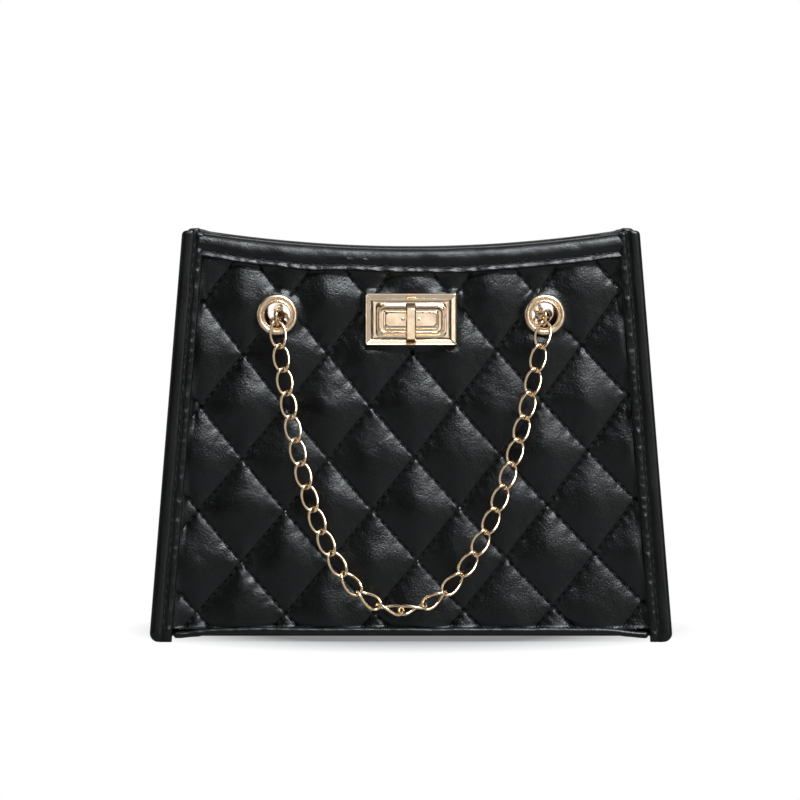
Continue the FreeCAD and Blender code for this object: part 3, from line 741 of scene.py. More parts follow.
@dataclass(frozen=True)
class Plating:
    """Polished plated metal.

    Attributes:
        name: The material's name.
        color: Its colour.
        deep: Its colour where it is smeared.
        shine: (least, most) roughness.
        fineness: How fine the hairlines are.
        depth: Depth of the hairlines in millimetres.
    """

    name: str
    color: tuple[float, float, float]
    deep: tuple[float, float, float]
    shine: tuple[float, float] = (0.1, 0.2)
    fineness: float = 1.0
    depth: float = 0.003

    def build(self, effects: Effects) -> bpy.types.Material:
        """Builds the material.

        Args:
            effects: The shared node groups.

        Returns:
            The material.
        """
        material, w, shader, position = start_material(self.name)
        marks = use_group(w, effects.marks, Position=position, Fineness=self.fineness)
        smear = marks.outputs["Smear"]
        w.tree.links.new(w.blend(smear, (*self.color, 1), (*self.deep, 1)), shader.inputs["Base Color"])
        w.tree.links.new(w.span(smear, 0.0, 1.0, *self.shine), shader.inputs["Roughness"])
        shader.inputs["Metallic"].default_value = 1.0
        bump(w, shader, marks.outputs["Height"], self.depth)
        return material


@dataclass(frozen=True)
class Cloth:
    """Fine woven lining.

    Attributes:
        name: The material's name.
        color: The threads' colour.
        thread: Threads to the millimetre.
        depth: Height of the weave in millimetres.
        fuzz: Strength of the fuzz's sheen.
        dust: Dust on what faces up.
    """

    name: str
    color: tuple[float, float, float] = (0.012, 0.012, 0.013)
    thread: float = 2.2
    depth: float = 0.08
    fuzz: float = 0.15
    dust: float = 0.05

    def build(self, effects: Effects) -> bpy.types.Material:
        """Builds the material: two sets of ribs, each hidden where the other passes over it.

        Args:
            effects: The shared node groups.

        Returns:
            The material.
        """
        material, w, shader, position = start_material(self.name)
        axes = w.node("ShaderNodeSeparateXYZ", {0: position})
        across = w.math("ADD", axes.outputs[0], w.math("MULTIPLY", axes.outputs[1], 0.5))
        pace = math.tau * self.thread / 2
        ribs = [w.math("SINE", w.math("MULTIPLY", axis, pace)) for axis in (across, axes.outputs[2])]
        weave = w.math("MULTIPLY", *ribs)
        fuzz = w.node("ShaderNodeTexNoise", {"Vector": position, "Scale": 0.6, "Detail": 4.0})
        height = w.math("ADD", w.math("ABSOLUTE", weave), w.math("MULTIPLY", fuzz.outputs[0], 0.4))
        light = tuple(1.8 * c for c in self.color)
        tone = w.blend(w.span(weave, -1, 1), (*self.color, 1), (*light, 1))
        w.feed(shader.inputs["Base Color"], effects.dusted(w, position, tone, self.dust))
        w.tree.links.new(w.span(fuzz.outputs[0], 0.3, 0.7, 0.6, 0.75), shader.inputs["Roughness"])
        shader.inputs["Sheen Weight"].default_value = self.fuzz
        bump(w, shader, height, self.depth)
        return material


@dataclass(frozen=True)
class Thread:
    """Twisted sewing thread.

    Attributes:
        name: The material's name.
        color: Its colour.
        depth: Depth of the twist in millimetres.
        gloss: Strength of its reflections.
        dust: Dust on what faces up.
    """

    name: str
    color: tuple[float, float, float] = (0.003, 0.003, 0.0032)
    depth: float = 0.05
    gloss: float = 0.25
    dust: float = 0.03

    def build(self, effects: Effects) -> bpy.types.Material:
        """Builds the material: slanting ply lines, their crests coloured lighter as a painted sheen.

        Args:
            effects: The shared node groups.

        Returns:
            The material.
        """
        material, w, shader, position = start_material(self.name)
        ply = w.node("ShaderNodeTexWave", {"Vector": position, "Scale": 1.1, "Distortion": 0.6},
                     bands_direction="DIAGONAL")
        # Painted sheen: the lighter colour follows the same ply height as the bump, so each crest is painted
        # lighter.
        light = tuple(2.5 * c for c in self.color)
        tone = w.blend(ply.outputs[1], (*self.color, 1), (*light, 1))
        w.feed(shader.inputs["Base Color"], effects.dusted(w, position, tone, self.dust))
        w.tree.links.new(w.span(ply.outputs[1], 0, 1, 0.4, 0.55), shader.inputs["Roughness"])
        shader.inputs["Specular IOR Level"].default_value = self.gloss
        bump(w, shader, ply.outputs[1], self.depth)
        return material


@dataclass(frozen=True)
class Palette:
    """Every finish of the bag, built."""

    quilt: bpy.types.Material
    trim: bpy.types.Material
    plain: bpy.types.Material
    lining: bpy.types.Material
    thread: bpy.types.Material
    eyelet: bpy.types.Material
    gold: bpy.types.Material
    chain: bpy.types.Material

    @classmethod
    def build(cls) -> "Palette":
        """Builds the shared effects and each finish.

        Returns:
            The palette.
        """
        effects = Effects()
        finishes = {
            "quilt": Leather("quilted_leather"),
            "trim": Leather("trim_leather", shine=(0.26, 0.38), pebble=1.3, depth=0.07),
            "plain": Leather("side_leather", shine=(0.3, 0.42), crease=0.45),
            "lining": Cloth("lining_cloth"),
            "thread": Thread("black_thread"),
            "eyelet": Plating("eyelet_gold", (0.94, 0.73, 0.52), (0.9, 0.67, 0.45), shine=(0.22, 0.32)),
            "gold": Plating("pale_gold", (0.94, 0.75, 0.55), (0.88, 0.67, 0.46)),
            "chain": Plating("chain_gold", (0.93, 0.72, 0.49), (0.87, 0.63, 0.4), shine=(0.14, 0.26))}
        return cls(**{use: finish.build(effects) for use, finish in finishes.items()})


@dataclass
class Maker:
    """Makes some of the bag's pieces.

    Attributes:
        form: The bag's form.
        fittings: Where the metalwork sits.
        palette: The finishes.
    """

    form: BagForm
    fittings: Fittings
    palette: Palette


# ---- stitches ----
def stitches(line: Array, normal: Array, kind: Stitching, keep: Optional[Array] = None,
             reach: Optional[Array] = None, slant: float = 0.0) -> Patch:
    """A row of stitches: flattened beads laid end to end along a line, a gap between each and the next.

    A bead is an ellipsoid on 4 rings of 6 points between 2 tips. It is pressed to 0.7 of its width across the
    leather, and a quarter of its thickness lies below the line.

    Args:
        line: Points along the seam, array (n, 3), close together.
        normal: Direction out of the leather at each point.
        kind: Pitch, length and width.
        keep: Whether each point of the line may carry a stitch, or None for all.
        reach: Distance along the seam at each point, or None to measure it from the line's start.
        slant: How far every stitch lies askew of the seam, in radians.

    Returns:
        The patch.
    """
    rings, around, sink, wobble = 4, 6, 0.25, 0.06
    pitch, length, width = kind.value
    half_thick = 0.35 * width
    if reach is None:
        reach = np.concatenate([[0.0], np.cumsum(np.linalg.norm(np.diff(line, axis=0), axis=1))])
    places = (np.arange(math.ceil(reach[0] / pitch), math.floor(reach[-1] / pitch)) + 0.5) * pitch
    if keep is not None:
        places = places[np.interp(places, reach, keep.astype(float)) > 0.99]
    if not len(places):
        return Patch(np.zeros((0, 3)), np.zeros((0, 4), int))

    def at(values: Array, where: Array) -> Array:
        """Values carried along the line."""
        return np.stack([np.interp(where, reach, values[:, k]) for k in range(3)], -1)

    ahead = at(line, places + 0.4) - at(line, places - 0.4)
    ahead /= np.linalg.norm(ahead, axis=1, keepdims=True)
    out = at(normal, places)
    out -= np.sum(out * ahead, axis=1, keepdims=True) * ahead
    out /= np.linalg.norm(out, axis=1, keepdims=True)
    across = np.cross(out, ahead)
    turn = slant + wobble * np.sin(np.arange(len(places)) * 2.4)[:, None]
    cos, sin = np.cos(turn), np.sin(turn)
    ahead, across = ahead * cos + across * sin, across * cos - ahead * sin

    lat = np.linspace(-math.pi / 2, math.pi / 2, rings + 2)[1:-1]
    lon = np.linspace(0, math.tau, around, endpoint=False)
    bead_x = np.concatenate([[-1], np.repeat(np.sin(lat), around), [1]]) * length / 2
    bead_y = np.concatenate([[0], np.outer(np.cos(lat), np.cos(lon)).ravel(), [0]]) * width / 2
    bead_z = np.concatenate([[0], np.outer(np.cos(lat), np.sin(lon)).ravel(), [0]]) + 1 - 2 * sink
    parts = ((ahead, bead_x), (across, bead_y), (out, bead_z * half_thick))
    points = at(line, places)[:, None] + sum(axis[:, None] * bead[:, None] for axis, bead in parts)

    ring = np.arange(around)
    following = (ring + 1) % around
    tip = 1 + rings * around
    low = 1 + around * np.arange(rings - 1)[:, None]
    bands = np.stack([low + ring, low + following, low + around + following, low + around + ring], -1)
    tips = np.concatenate([np.stack([0 * ring, 1 + following, 1 + ring], -1),
                           np.stack([0 * ring + tip, tip - around + ring, tip - around + following], -1)])
    shift = (np.arange(len(places)) * (tip + 1))[:, None, None]
    quads = (bands.reshape(-1, 4)[None] + shift).reshape(-1, 4)
    return Patch(points.reshape(-1, 3), quads, (tips[None] + shift).reshape(-1, 3).tolist()).outward()


# ---- clipped sheets ----
@dataclass(frozen=True)
class Hole:
    """A round or square-cornered hole through a panel.

    Attributes:
        u: Centre across the panel.
        v: Centre up the panel.
        half_u: Half its width.
        half_v: Half its height.
        is_round: Whether it is a circle of radius half_u.
    """

    u: float
    v: float
    half_u: float
    half_v: float
    is_round: bool = True

    def margin(self, u: Array, v: Array) -> Array:
        """Distance outside the hole's edge, negative inside it."""
        a, b = np.abs(u - self.u), np.abs(v - self.v)
        if self.is_round:
            return np.hypot(a, b) - self.half_u
        return np.maximum(a - self.half_u, b - self.half_v)

    def edge(self) -> Array:
        """Points round the hole, clockwise."""
        if self.is_round:
            angle = np.linspace(0, -math.tau, 56, endpoint=False)
            return np.stack([self.u + self.half_u * np.cos(angle), self.v + self.half_v * np.sin(angle)], -1)
        corner = np.array([(1, 1), (1, -1), (-1, -1), (-1, 1)]) * (self.half_u, self.half_v)
        sides = [np.linspace(a, b, 12, endpoint=False) for a, b in zip(corner, np.roll(corner, -1, 0))]
        return np.concatenate(sides) + (self.u, self.v)


@dataclass(frozen=True)
class Cut:
    """A flat piece of cloth or leather before it is sewn in.

    Attributes:
        width: Its greatest width.
        length: Its greatest length.
        area: Its area in square millimetres.
    """

    width: float
    length: float
    area: float

    def declare(self, obj: bpy.types.Object, held: str, *rests_on: bpy.types.Object) -> None:
        """Logs an object's name with this cut's size and area."""
        LOG.info("%s: cut %.1f x %.1f mm, %.0f mm2", obj.name, self.width, self.length, self.area)


def polygon_area(loop: Array) -> float:
    """Area inside a closed loop of points (n, 2), positive if it runs anticlockwise."""
    x, y = loop.T
    return float(np.sum(x * np.roll(y, -1) - np.roll(x, -1) * y) / 2)


@dataclass
class ClippedSheet:
    """A closed sheet that fills part of a panel's outline, with holes.

    Cells of a slanted or straight grid are kept where they lie wholly inside. Triangles join them to the
    clean outline. The hidden face is flat, and walls join the two faces.

    Attributes:
        form: The bag's form.
        inset: Distance from the bag's side edges.
        low: Height of the lower edge up the panel.
        drop: Distance of the upper edge below the rim.
        holes: Holes through the sheet.
        surface: The visible face's height w at (u, v).
        hidden: The flat hidden face's height w.
        step: Distance between points along the outline.
    """

    form: BagForm
    inset: float
    low: float
    drop: float
    holes: Sequence[Hole]
    surface: Callable[[Array, Array], Array]
    hidden: float
    step: float = 1.3

    def margin(self, u: Array, v: Array) -> Array:
        """Distance inside the sheet's outline, negative outside it."""
        side = self.form.half_width(v) - self.inset - np.abs(u)
        rim = self.form.rim(np.clip(u, -130, 130), self.drop) - v
        return np.minimum.reduce([v - self.low, rim, side, *(hole.margin(u, v) for hole in self.holes)])

    def loops(self) -> list[Array]:
        """The outline, anticlockwise, and the holes' edges, clockwise."""
        f = self.form
        foot = float(f.half_width(self.low)) - self.inset
        top = f.v_corner - self.drop
        for _ in range(20):
            corner = float(f.half_width(top)) - self.inset
            top = float(f.rim(corner, self.drop))
        bottom_u = np.linspace(-foot, foot, round(2 * foot / self.step), endpoint=False)
        side = np.linspace(0, 1, round((top - self.low) / self.step), endpoint=False)
        top_u = np.linspace(corner, -corner, round(2 * corner / self.step), endpoint=False)
        right = np.stack([foot + (corner - foot) * side, self.low + (top - self.low) * side], -1)
        left = np.stack([-corner + (corner - foot) * side, top + (self.low - top) * side], -1)
        outer = np.concatenate([np.stack([bottom_u, np.full_like(bottom_u, self.low)], -1), right,
                                np.stack([top_u, f.rim(top_u, self.drop)], -1), left])
        return [outer, *(hole.edge() for hole in self.holes)]

    def cut(self) -> Cut:
        """The flat piece of cloth that the sheet is made from."""
        outer, *holes = (abs(polygon_area(loop)) for loop in self.loops())
        width, length = np.ptp(self.loops()[0], axis=0)
        return Cut(float(width), float(length), outer - sum(holes))

    @staticmethod
    def triangulate(points: Array, edges: Array) -> Array:
        """Triangles that fill the loops of edges, anticlockwise; a loop inside another bounds a hole.

        Whether a triangle is inside passes from neighbour to neighbour, and changes across a loop's edge. It
        starts from the triangles at the hull, which are inside only if their outer edge belongs to a loop.

        Args:
            points: Array (n, 2).
            edges: Pairs of point numbers, array (m, 2).

        Returns:
            Array (k, 3) of point numbers.
        """
        def keys(pairs: Array) -> Array:
            """One number for each edge, whichever way it runs."""
            return pairs.min(-1) * len(points) + pairs.max(-1)

        flat = [Vector((float(a), float(b))) for a, b in points]
        _, _, faces, origin, _, _ = delaunay_2d_cdt(flat, edges.tolist(), [], 0, 1e-7)
        if any(not o for o in origin):
            raise ValueError("outline crosses the grid")
        triangles = np.array([[origin[i][0] for i in face] for face in faces])
        a, b, c = (points[triangles[:, k]] for k in range(3))
        turn = (b[:, 0] - a[:, 0]) * (c[:, 1] - a[:, 1]) - (b[:, 1] - a[:, 1]) * (c[:, 0] - a[:, 0])
        triangles = np.where((turn < 0)[:, None], triangles[:, ::-1], triangles)
        side = keys(np.stack([triangles, np.roll(triangles, -1, 1)], -1).reshape(-1, 2))
        wall = np.isin(side, keys(edges))
        order = np.argsort(side, kind="stable")
        shared = np.flatnonzero(side[order][1:] == side[order][:-1])
        one, two, crossed = order[shared] // 3, order[shared + 1] // 3, wall[order[shared]]
        alone = np.setdiff1d(order, np.concatenate([order[shared], order[shared + 1]]))
        inside = np.full(len(triangles), -1)
        inside[alone // 3] = wall[alone]
        while (inside < 0).any():
            for known, other in ((one, two), (two, one)):
                ready = (inside[known] >= 0) & (inside[other] < 0)
                inside[other[ready]] = inside[known[ready]] ^ crossed[ready]
        return triangles[inside == 1]

    def build(self, u: Array, v: Array, face: Face) -> Patch:
        """Builds the sheet from a grid over the panel.

        Args:
            u: Grid points across the panel, array (rows, columns).
            v: Grid points up the panel.
            face: Which panel.

        Returns:
            The closed patch.
        """
        rows, columns = u.shape
        kept = cells(self.margin(u, v) > 0.35).all(-1)
        quads = cells(np.arange(rows * columns).reshape(rows, columns))[kept]
        used, quads = np.unique(quads, return_inverse=True)
        quads = quads.reshape(-1, 4)
        flat = np.stack([u.ravel()[used], v.ravel()[used]], -1)
        x, y = flat[quads][..., 0], flat[quads][..., 1]
        if np.sum(x * np.roll(y, -1, 1) - np.roll(x, -1, 1) * y) < 0:
            quads = quads[:, ::-1]
        pairs = np.sort(np.stack([quads, np.roll(quads, -1, axis=1)], -1).reshape(-1, 2), axis=1)
        border, uses = np.unique(pairs, axis=0, return_counts=True)
        border = border[uses == 1]
        loops = self.loops()
        rim = np.concatenate(loops)
        starts = np.cumsum([0] + [len(loop) for loop in loops[:-1]])
        ring = np.concatenate([np.stack([np.arange(len(p)), np.roll(np.arange(len(p)), -1)], -1) + s
                               for p, s in zip(loops, starts)])
        # Visible face: kept cells, and triangles between their border and the outline.
        near, local = np.unique(border, return_inverse=True)
        local = local.reshape(-1, 2)
        band = np.concatenate([flat[near], rim])
        triangles = self.triangulate(band, np.concatenate([local, ring + len(near)]))
        triangles = np.concatenate([near, len(flat) + np.arange(len(rim))])[triangles]
        # Hidden face: triangles inside the outline only.
        back = self.triangulate(rim, ring)
        start = len(flat)
        behind = start + len(rim)
        one, two = ring.T
        wall = np.stack([two + start, one + start, one + behind, two + behind], -1)
        all_uv = np.concatenate([flat, rim, rim])
        w = np.concatenate([self.surface(*np.concatenate([flat, rim]).T), np.full(len(rim), self.hidden)])
        patch = Patch(self.form.place(all_uv[:, 0], all_uv[:, 1], w, face), np.concatenate([quads, wall]),
                      [*triangles.tolist(), *(back[:, ::-1] + behind).tolist()])
        return patch.outward()


# ---- quilted panels ----
@dataclass
class QuiltedPanel(Maker):
    """The padded front or back, its folded rim, its lining and its stitches.

    Attributes:
        face: Which panel.
        cell_width: Width of a quilted diamond.
        cell_height: Its height, measured upright.
        lattice_z: Height above the floor of the crossing in the middle of the panel.
        depth: How deep the sewn lines are.
        fullness: How square a puff's shoulders are.
        corner: How much slope a puff keeps in its corners.
        per_cell: Grid steps along a diamond's side.
        press: Height of the leather where the binding, hem or metal presses it.
        foot: Height of the quilting's lower edge up the panel.
        pulls: How far the making pulls the lattice in u and in v: the six terms of a quadratic each.
    """

    face: Face
    cell_width: float = 39.3
    cell_height: float = 46.5
    lattice_z: float = 82.2
    depth: float = 3.0
    fullness: float = 1.68
    corner: float = 1.5
    per_cell: int = 44
    press: float = -1.0
    foot: float = 1.3
    pulls: tuple[tuple[float, ...], ...] = ((1.74, -0.74, -1.8, 0.37, -3.01, 0.25),
                                            (0.43, 2.5, 0.26, 1.81, 0.0, 0.86))

    @cached_property
    def step_v(self) -> float:
        """Half a diamond's height, up the panel."""
        return self.cell_height / 2 / math.cos(self.form.lean)

    @cached_property
    def v_lattice(self) -> float:
        """Height up the panel of the crossing in its middle."""
        return self.form.up_panel(self.lattice_z)

    @cached_property
    def side_length(self) -> float:
        """Length of a diamond's side."""
        return math.hypot(self.cell_width / 2, self.step_v)

    def sewn(self, a: Array, b: Array) -> tuple[Array, Array]:
        """Where a point of the quilting lies on the panel: the regular diamonds, pulled askew by the making.

        The pull is a quadratic in the column and row numbers. The front's is known, and the back's is milder.

        Args:
            a: Quilt coordinate that is whole on the lines that fall to the right.
            b: Quilt coordinate that is whole on the lines that rise to the right.

        Returns:
            u and v.
        """
        p, q = np.clip((a + b) / 5, -1.3, 1.3), np.clip((a - b) / 3, -1.5, 1.5)
        terms = np.stack([np.ones_like(p), p, q, p * p, p * q, q * q])
        share = 1.0 if self.face is Face.FRONT else 0.4
        pull_u, pull_v = (np.tensordot(np.array(k) * share, terms, 1) for k in self.pulls)
        return (a + b) * self.cell_width / 2 + pull_u, (a - b) * self.step_v + self.v_lattice + pull_v

    def lattice(self, u: Array, v: Array) -> tuple[Array, Array]:
        """Quilt coordinates of points of the panel: both are whole numbers where two sewn lines cross.

        The pull is small and smooth, so it is undone by correcting a first guess a few times.
        """
        a, b = np.zeros_like(u), np.zeros_like(u)
        for _ in range(9):
            now_u, now_v = self.sewn(a, b)
            x, y = (u - now_u) / self.cell_width, (v - now_v) / (2 * self.step_v)
            a, b = a + x + y, b + x - y
        return a, b

    def pressed(self, u: Array, v: Array) -> Array:
        """How freely the padding can rise: 0 where an edge or a fitting presses it, 1 where nothing does."""
        side = self.form.half_width(v) - np.abs(u)
        free = smoothstep((side - self.form.tape + 0.7) / 2.8)
        free = free * smoothstep((v - self.foot + 0.3) / 1.6)
        free = free * smoothstep((self.form.rim(u, self.form.hem) - v + 0.3) / 2.6)
        for sign in (-1, 1):
            away = np.hypot(u - sign * self.fittings.eyelet_u, v - self.fittings.eyelet_v)
            free = free * smoothstep((away - 8.8) / 4.2)
        if self.face is Face.FRONT:
            aside, above = np.abs(u) - 20.0, np.abs(v - self.fittings.lock_v) - 11.2
            out = np.hypot(np.maximum(aside, 0), np.maximum(above, 0))
            free = free * smoothstep(out / 3.8 + 0.02)
        return free

    def height(self, u: Array, v: Array) -> Array:
        """Height of the leather.

        Across a diamond, the padding rises from each sewn line as 1 - |1 - 2t|^p. The two sets of lines join
        as (x^-k + y^-k - 1)^(-1/k), so that a puff keeps its slope into its corners, and the whole is raised
        to the power 0.88. Near a line it is gathered by small puckers square to the line. The thread pulls a
        crease along the line, deeper between two stitches, and each puff differs a little.

        Args:
            u: Across the panel.
            v: Up the panel.

        Returns:
            Heights w, shaped like u.
        """
        a, b = self.lattice(u, v)
        fa, fb = a - np.floor(a), b - np.floor(b)
        rise_a, rise_b = (np.maximum(1 - np.abs(1 - 2 * f) ** self.fullness, 1e-4) for f in (fa, fb))
        rise = ((rise_a**-self.corner + rise_b**-self.corner - 1) ** (-1 / self.corner)) ** 0.88
        seed = 11 if self.face is Face.FRONT else 23
        gathers = np.zeros_like(u)
        for own, other, shift in ((a, b, 0), (b, a, 50)):
            line = np.round(own)
            near = np.abs(own - line) * self.cell_width * 0.76
            along = other * self.side_length
            pucker = ripples(along + 7.3 * line, line * 31.0, 4.4, seed + shift, 10)
            gathers += 0.06 * pucker * np.exp(-((near - 1.4) / 2.6) ** 2) * smoothstep(near / 1.2)
            between = 0.5 + 0.5 * np.cos(math.tau * along / Stitching.QUILT.value[0])
            gathers -= (0.22 + 0.42 * between) * np.exp(-((near / 0.4) ** 2))
            gathers -= 0.1 * between * np.exp(-((near / 1.5) ** 2))
        soft = 0.2 * ripples(u, v, 30.0, seed + 3) + 0.09 * ripples(u, v, 13.0, seed + 4)
        soft += 0.025 * ripples(u, v, 5.0, seed + 5)
        quilted = -self.depth * (1 - rise) + gathers + soft * rise - 0.15
        free = self.pressed(u, v)
        return np.minimum(self.press + (quilted - self.press) * free, 0.35)

    def holes(self, margin: float) -> list[Hole]:
        """The eyelets' holes, and in front the lock's, wider than the metal by margin."""
        fit, barrel = self.fittings, 6.4 + margin
        found = [Hole(sign * fit.eyelet_u, fit.eyelet_v, barrel, barrel) for sign in (-1, 1)]
        if self.face is Face.FRONT:
            found.append(Hole(0, fit.lock_v, 13.7 + margin, 5.3 + margin, is_round=False))
        return found

    def quilt(self) -> Patch:
        """The padded face, on a grid whose lines run along the sewn lines and crowd together near them."""
        steps = np.linspace(0, 1, self.per_cell, endpoint=False)
        steps = steps - 0.72 * np.sin(math.tau * steps) / math.tau
        corners = [self.lattice(np.array(su * 122.0), np.array(v)) for su in (-1, 1) for v in (-4.0, 188.0)]
        spans = []
        for k in range(2):
            values = [float(c[k]) for c in corners]
            whole = np.arange(math.floor(min(values)), math.ceil(max(values)))
            spans.append((whole[:, None] + steps[None]).ravel())
        a, b = np.meshgrid(*spans, indexing="ij")
        u, v = self.sewn(a, b)
        sheet = ClippedSheet(self.form, self.form.sewn_edge, self.foot, self.form.hem - 2.0, self.holes(0.9),
                             self.height, -self.form.stack + 0.7)
        return sheet.build(u, v, self.face)

    def quilt_stitches(self) -> Patch:
        """Stitches along both sets of sewn lines, left out where something covers them."""
        rows = []
        span = 6
        for falls in (True, False):
            for line in range(-span, span + 1):
                other = np.linspace(-span, span, 1500)
                own = np.full_like(other, line)
                u, v = self.sewn(own, other) if falls else self.sewn(other, own)
                inside = self.form.half_width(v) - np.abs(u) > self.form.tape + 0.6
                inside &= v > self.foot + 1.5
                inside &= self.form.rim(np.clip(u, -120, 120), self.form.hem) - v > 0.8
                for hole in self.holes(3.6):
                    inside &= hole.margin(u, v) > 0
                if self.face is Face.FRONT:
                    inside &= (np.abs(u) > 21.5) | (np.abs(v - self.fittings.lock_v) > 12.7)
                if not inside.any():
                    continue
                w = self.height(u, v) + 0.08
                points = self.form.place(u, v, w, self.face)
                out = self.form.place(u, v, w + 1.0, self.face) - points
                shown = np.flatnonzero(inside)
                part = slice(shown[0], shown[-1] + 1)
                reach = (other[part] + span) * self.side_length
                rows.append(stitches(points[part], out[part], Stitching.QUILT, inside[part], reach))
        return joined(rows)

    def hem_line(self, drop: Array, w: Array, stations: int = 220, seed: int = 5) -> Array:
        """Points of the folded rim: each (drop, w) of a profile carried along the rim's curve.

        Args:
            drop: Distances below the rim, array (k,).
            w: Heights out of the panel, array (k,).
            stations: Steps along the rim.
            seed: Which small waves the leather has.

        Returns:
            Array (stations, k, 3).
        """
        share = np.linspace(-1, 1, stations)[:, None]
        end_u = self.form.half_width(self.form.v_corner - drop) - self.form.sewn_edge
        drop, w = drop[None, :], w[None, :]
        u, none = share * end_u[None, :], drop * 0
        wave = 0.07 * ripples(u, drop * 2.0, 24.0, seed) + 0.02 * ripples(u, drop, 6.0, seed + 1)
        lip = np.exp(-((drop - 9.4) / 0.9) ** 2)
        wave += lip * (0.13 * ripples(u, none, 5.7, seed + 4) + 0.06 * ripples(u, none, 2.6, seed + 5))
        v = self.form.rim(u, drop) + 0.25 * ripples(u, none, 40.0, seed + 2) * (drop > 5)
        return self.form.place(u, v, w + wave * smoothstep((w + 1.0) / 1.2), self.face)

    def hem(self) -> Patch:
        """The folded rim: an outer leaf with a rolled lower edge, a soft fold and an inner leaf."""
        lip = [(10.5, -0.9), (10.68, 0.2), (10.4, 0.82), (9.95, 0.9), (9.2, 0.66), (8.6, 0.4)]
        groove = [(8.15, 0.04), (7.85, 0.14), (7.4, 0.44)]
        outer = [(6.6, 0.86), (5.2, 1.08), (3.6, 1.0), (1.9, 0.62)]
        fold = [(0.6, -0.1), (-0.2, -1.1), (-0.4, -2.3), (-0.1, -3.9)]
        inner = [(1.2, -4.85), (4.0, -5.0), (7.0, -4.95), (8.1, -4.7), (9.0, -4.95), (10.3, -4.9)]
        within = [(10.4, -4.2), (6.0, -3.8), (3.5, -3.4), (3.2, -2.0), (5.0, -1.2), (8.5, -1.0)]
        profile = closed_spline(lip + groove + outer + fold + inner + within, 96)
        seed = 5 if self.face is Face.FRONT else 17
        return grid(self.hem_line(profile[:, 0], profile[:, 1], seed=seed), loop=True, caps=True).outward()

    def hem_stitches(self) -> Patch:
        """One row of stitches near the rim's lower edge, outside and inside."""
        rows = []
        for w, direction in ((0.16, 1.0), (-4.78, -1.0)):
            line = self.hem_line(np.array([self.form.hem_seam]), np.array([w]), 900)[:, 0]
            out = np.broadcast_to(self.form.outward(self.face, direction), line.shape)
            rows.append(stitches(line, out, Stitching.HEM, slant=-0.3 * direction))
        return joined(rows)

    def lining(self) -> tuple[Patch, Cut]:
        """The cloth behind the padding: nearly flat, with long soft wrinkles that fade at its edges.

        Returns:
            The closed patch and the flat piece of cloth.
        """
        across, up = np.linspace(-118, 118, 190), np.linspace(-2, 186, 150)
        u, v = np.meshgrid(across, up, indexing="ij")
        seed = 31 if self.face is Face.FRONT else 37

        def surface(u: Array, v: Array) -> Array:
            """Height of the cloth's inner face."""
            free = smoothstep((self.form.half_width(v) - np.abs(u) - 9) / 14) * smoothstep((150 - v) / 30)
            wave = 0.5 * ripples(u * 0.5, v, 34.0, seed) + 0.2 * ripples(u, v, 13.0, seed + 1)
            return -self.form.stack - 0.1 + wave * free * 0.6 - 0.35 * free

        sheet = ClippedSheet(self.form, self.form.sewn_edge, 2.4, self.form.hem - 1.5, self.holes(0.15),
                             surface, -self.form.stack + 0.55)
        return sheet.build(u, v, self.face), sheet.cut()

    def add(self) -> bpy.types.Object:
        """Builds and adds every piece of the panel.

        Returns:
            The padded face.
        """
        name, p = self.face.value, self.palette
        body = Piece(f"{name}_quilted_panel", self.quilt(), p.quilt, "black_leather", crease_deg=SOFT,
                     stands_for=(f"{name}_quilted_skin", f"{name}_wadding")).add()
        Piece(f"{name}_quilt_stitches", self.quilt_stitches(), p.thread, "black_leather").add()
        Piece(f"{name}_rim_fold", self.hem(), p.trim, "black_leather", crease_deg=SOFT,
              stands_for=(f"{name}_rim_hem", f"{name}_rim_stiffener")).add()
        Piece(f"{name}_rim_stitches", self.hem_stitches(), p.thread, "black_leather").add()
        lining, cut = self.lining()
        cloth = Piece(f"{name}_lining_cloth", lining, p.lining, "lining_cloth", crease_deg=SOFT,
                      stands_for=(f"{name}_lining",)).add()
        cut.declare(cloth, "stretched", body)
        return body


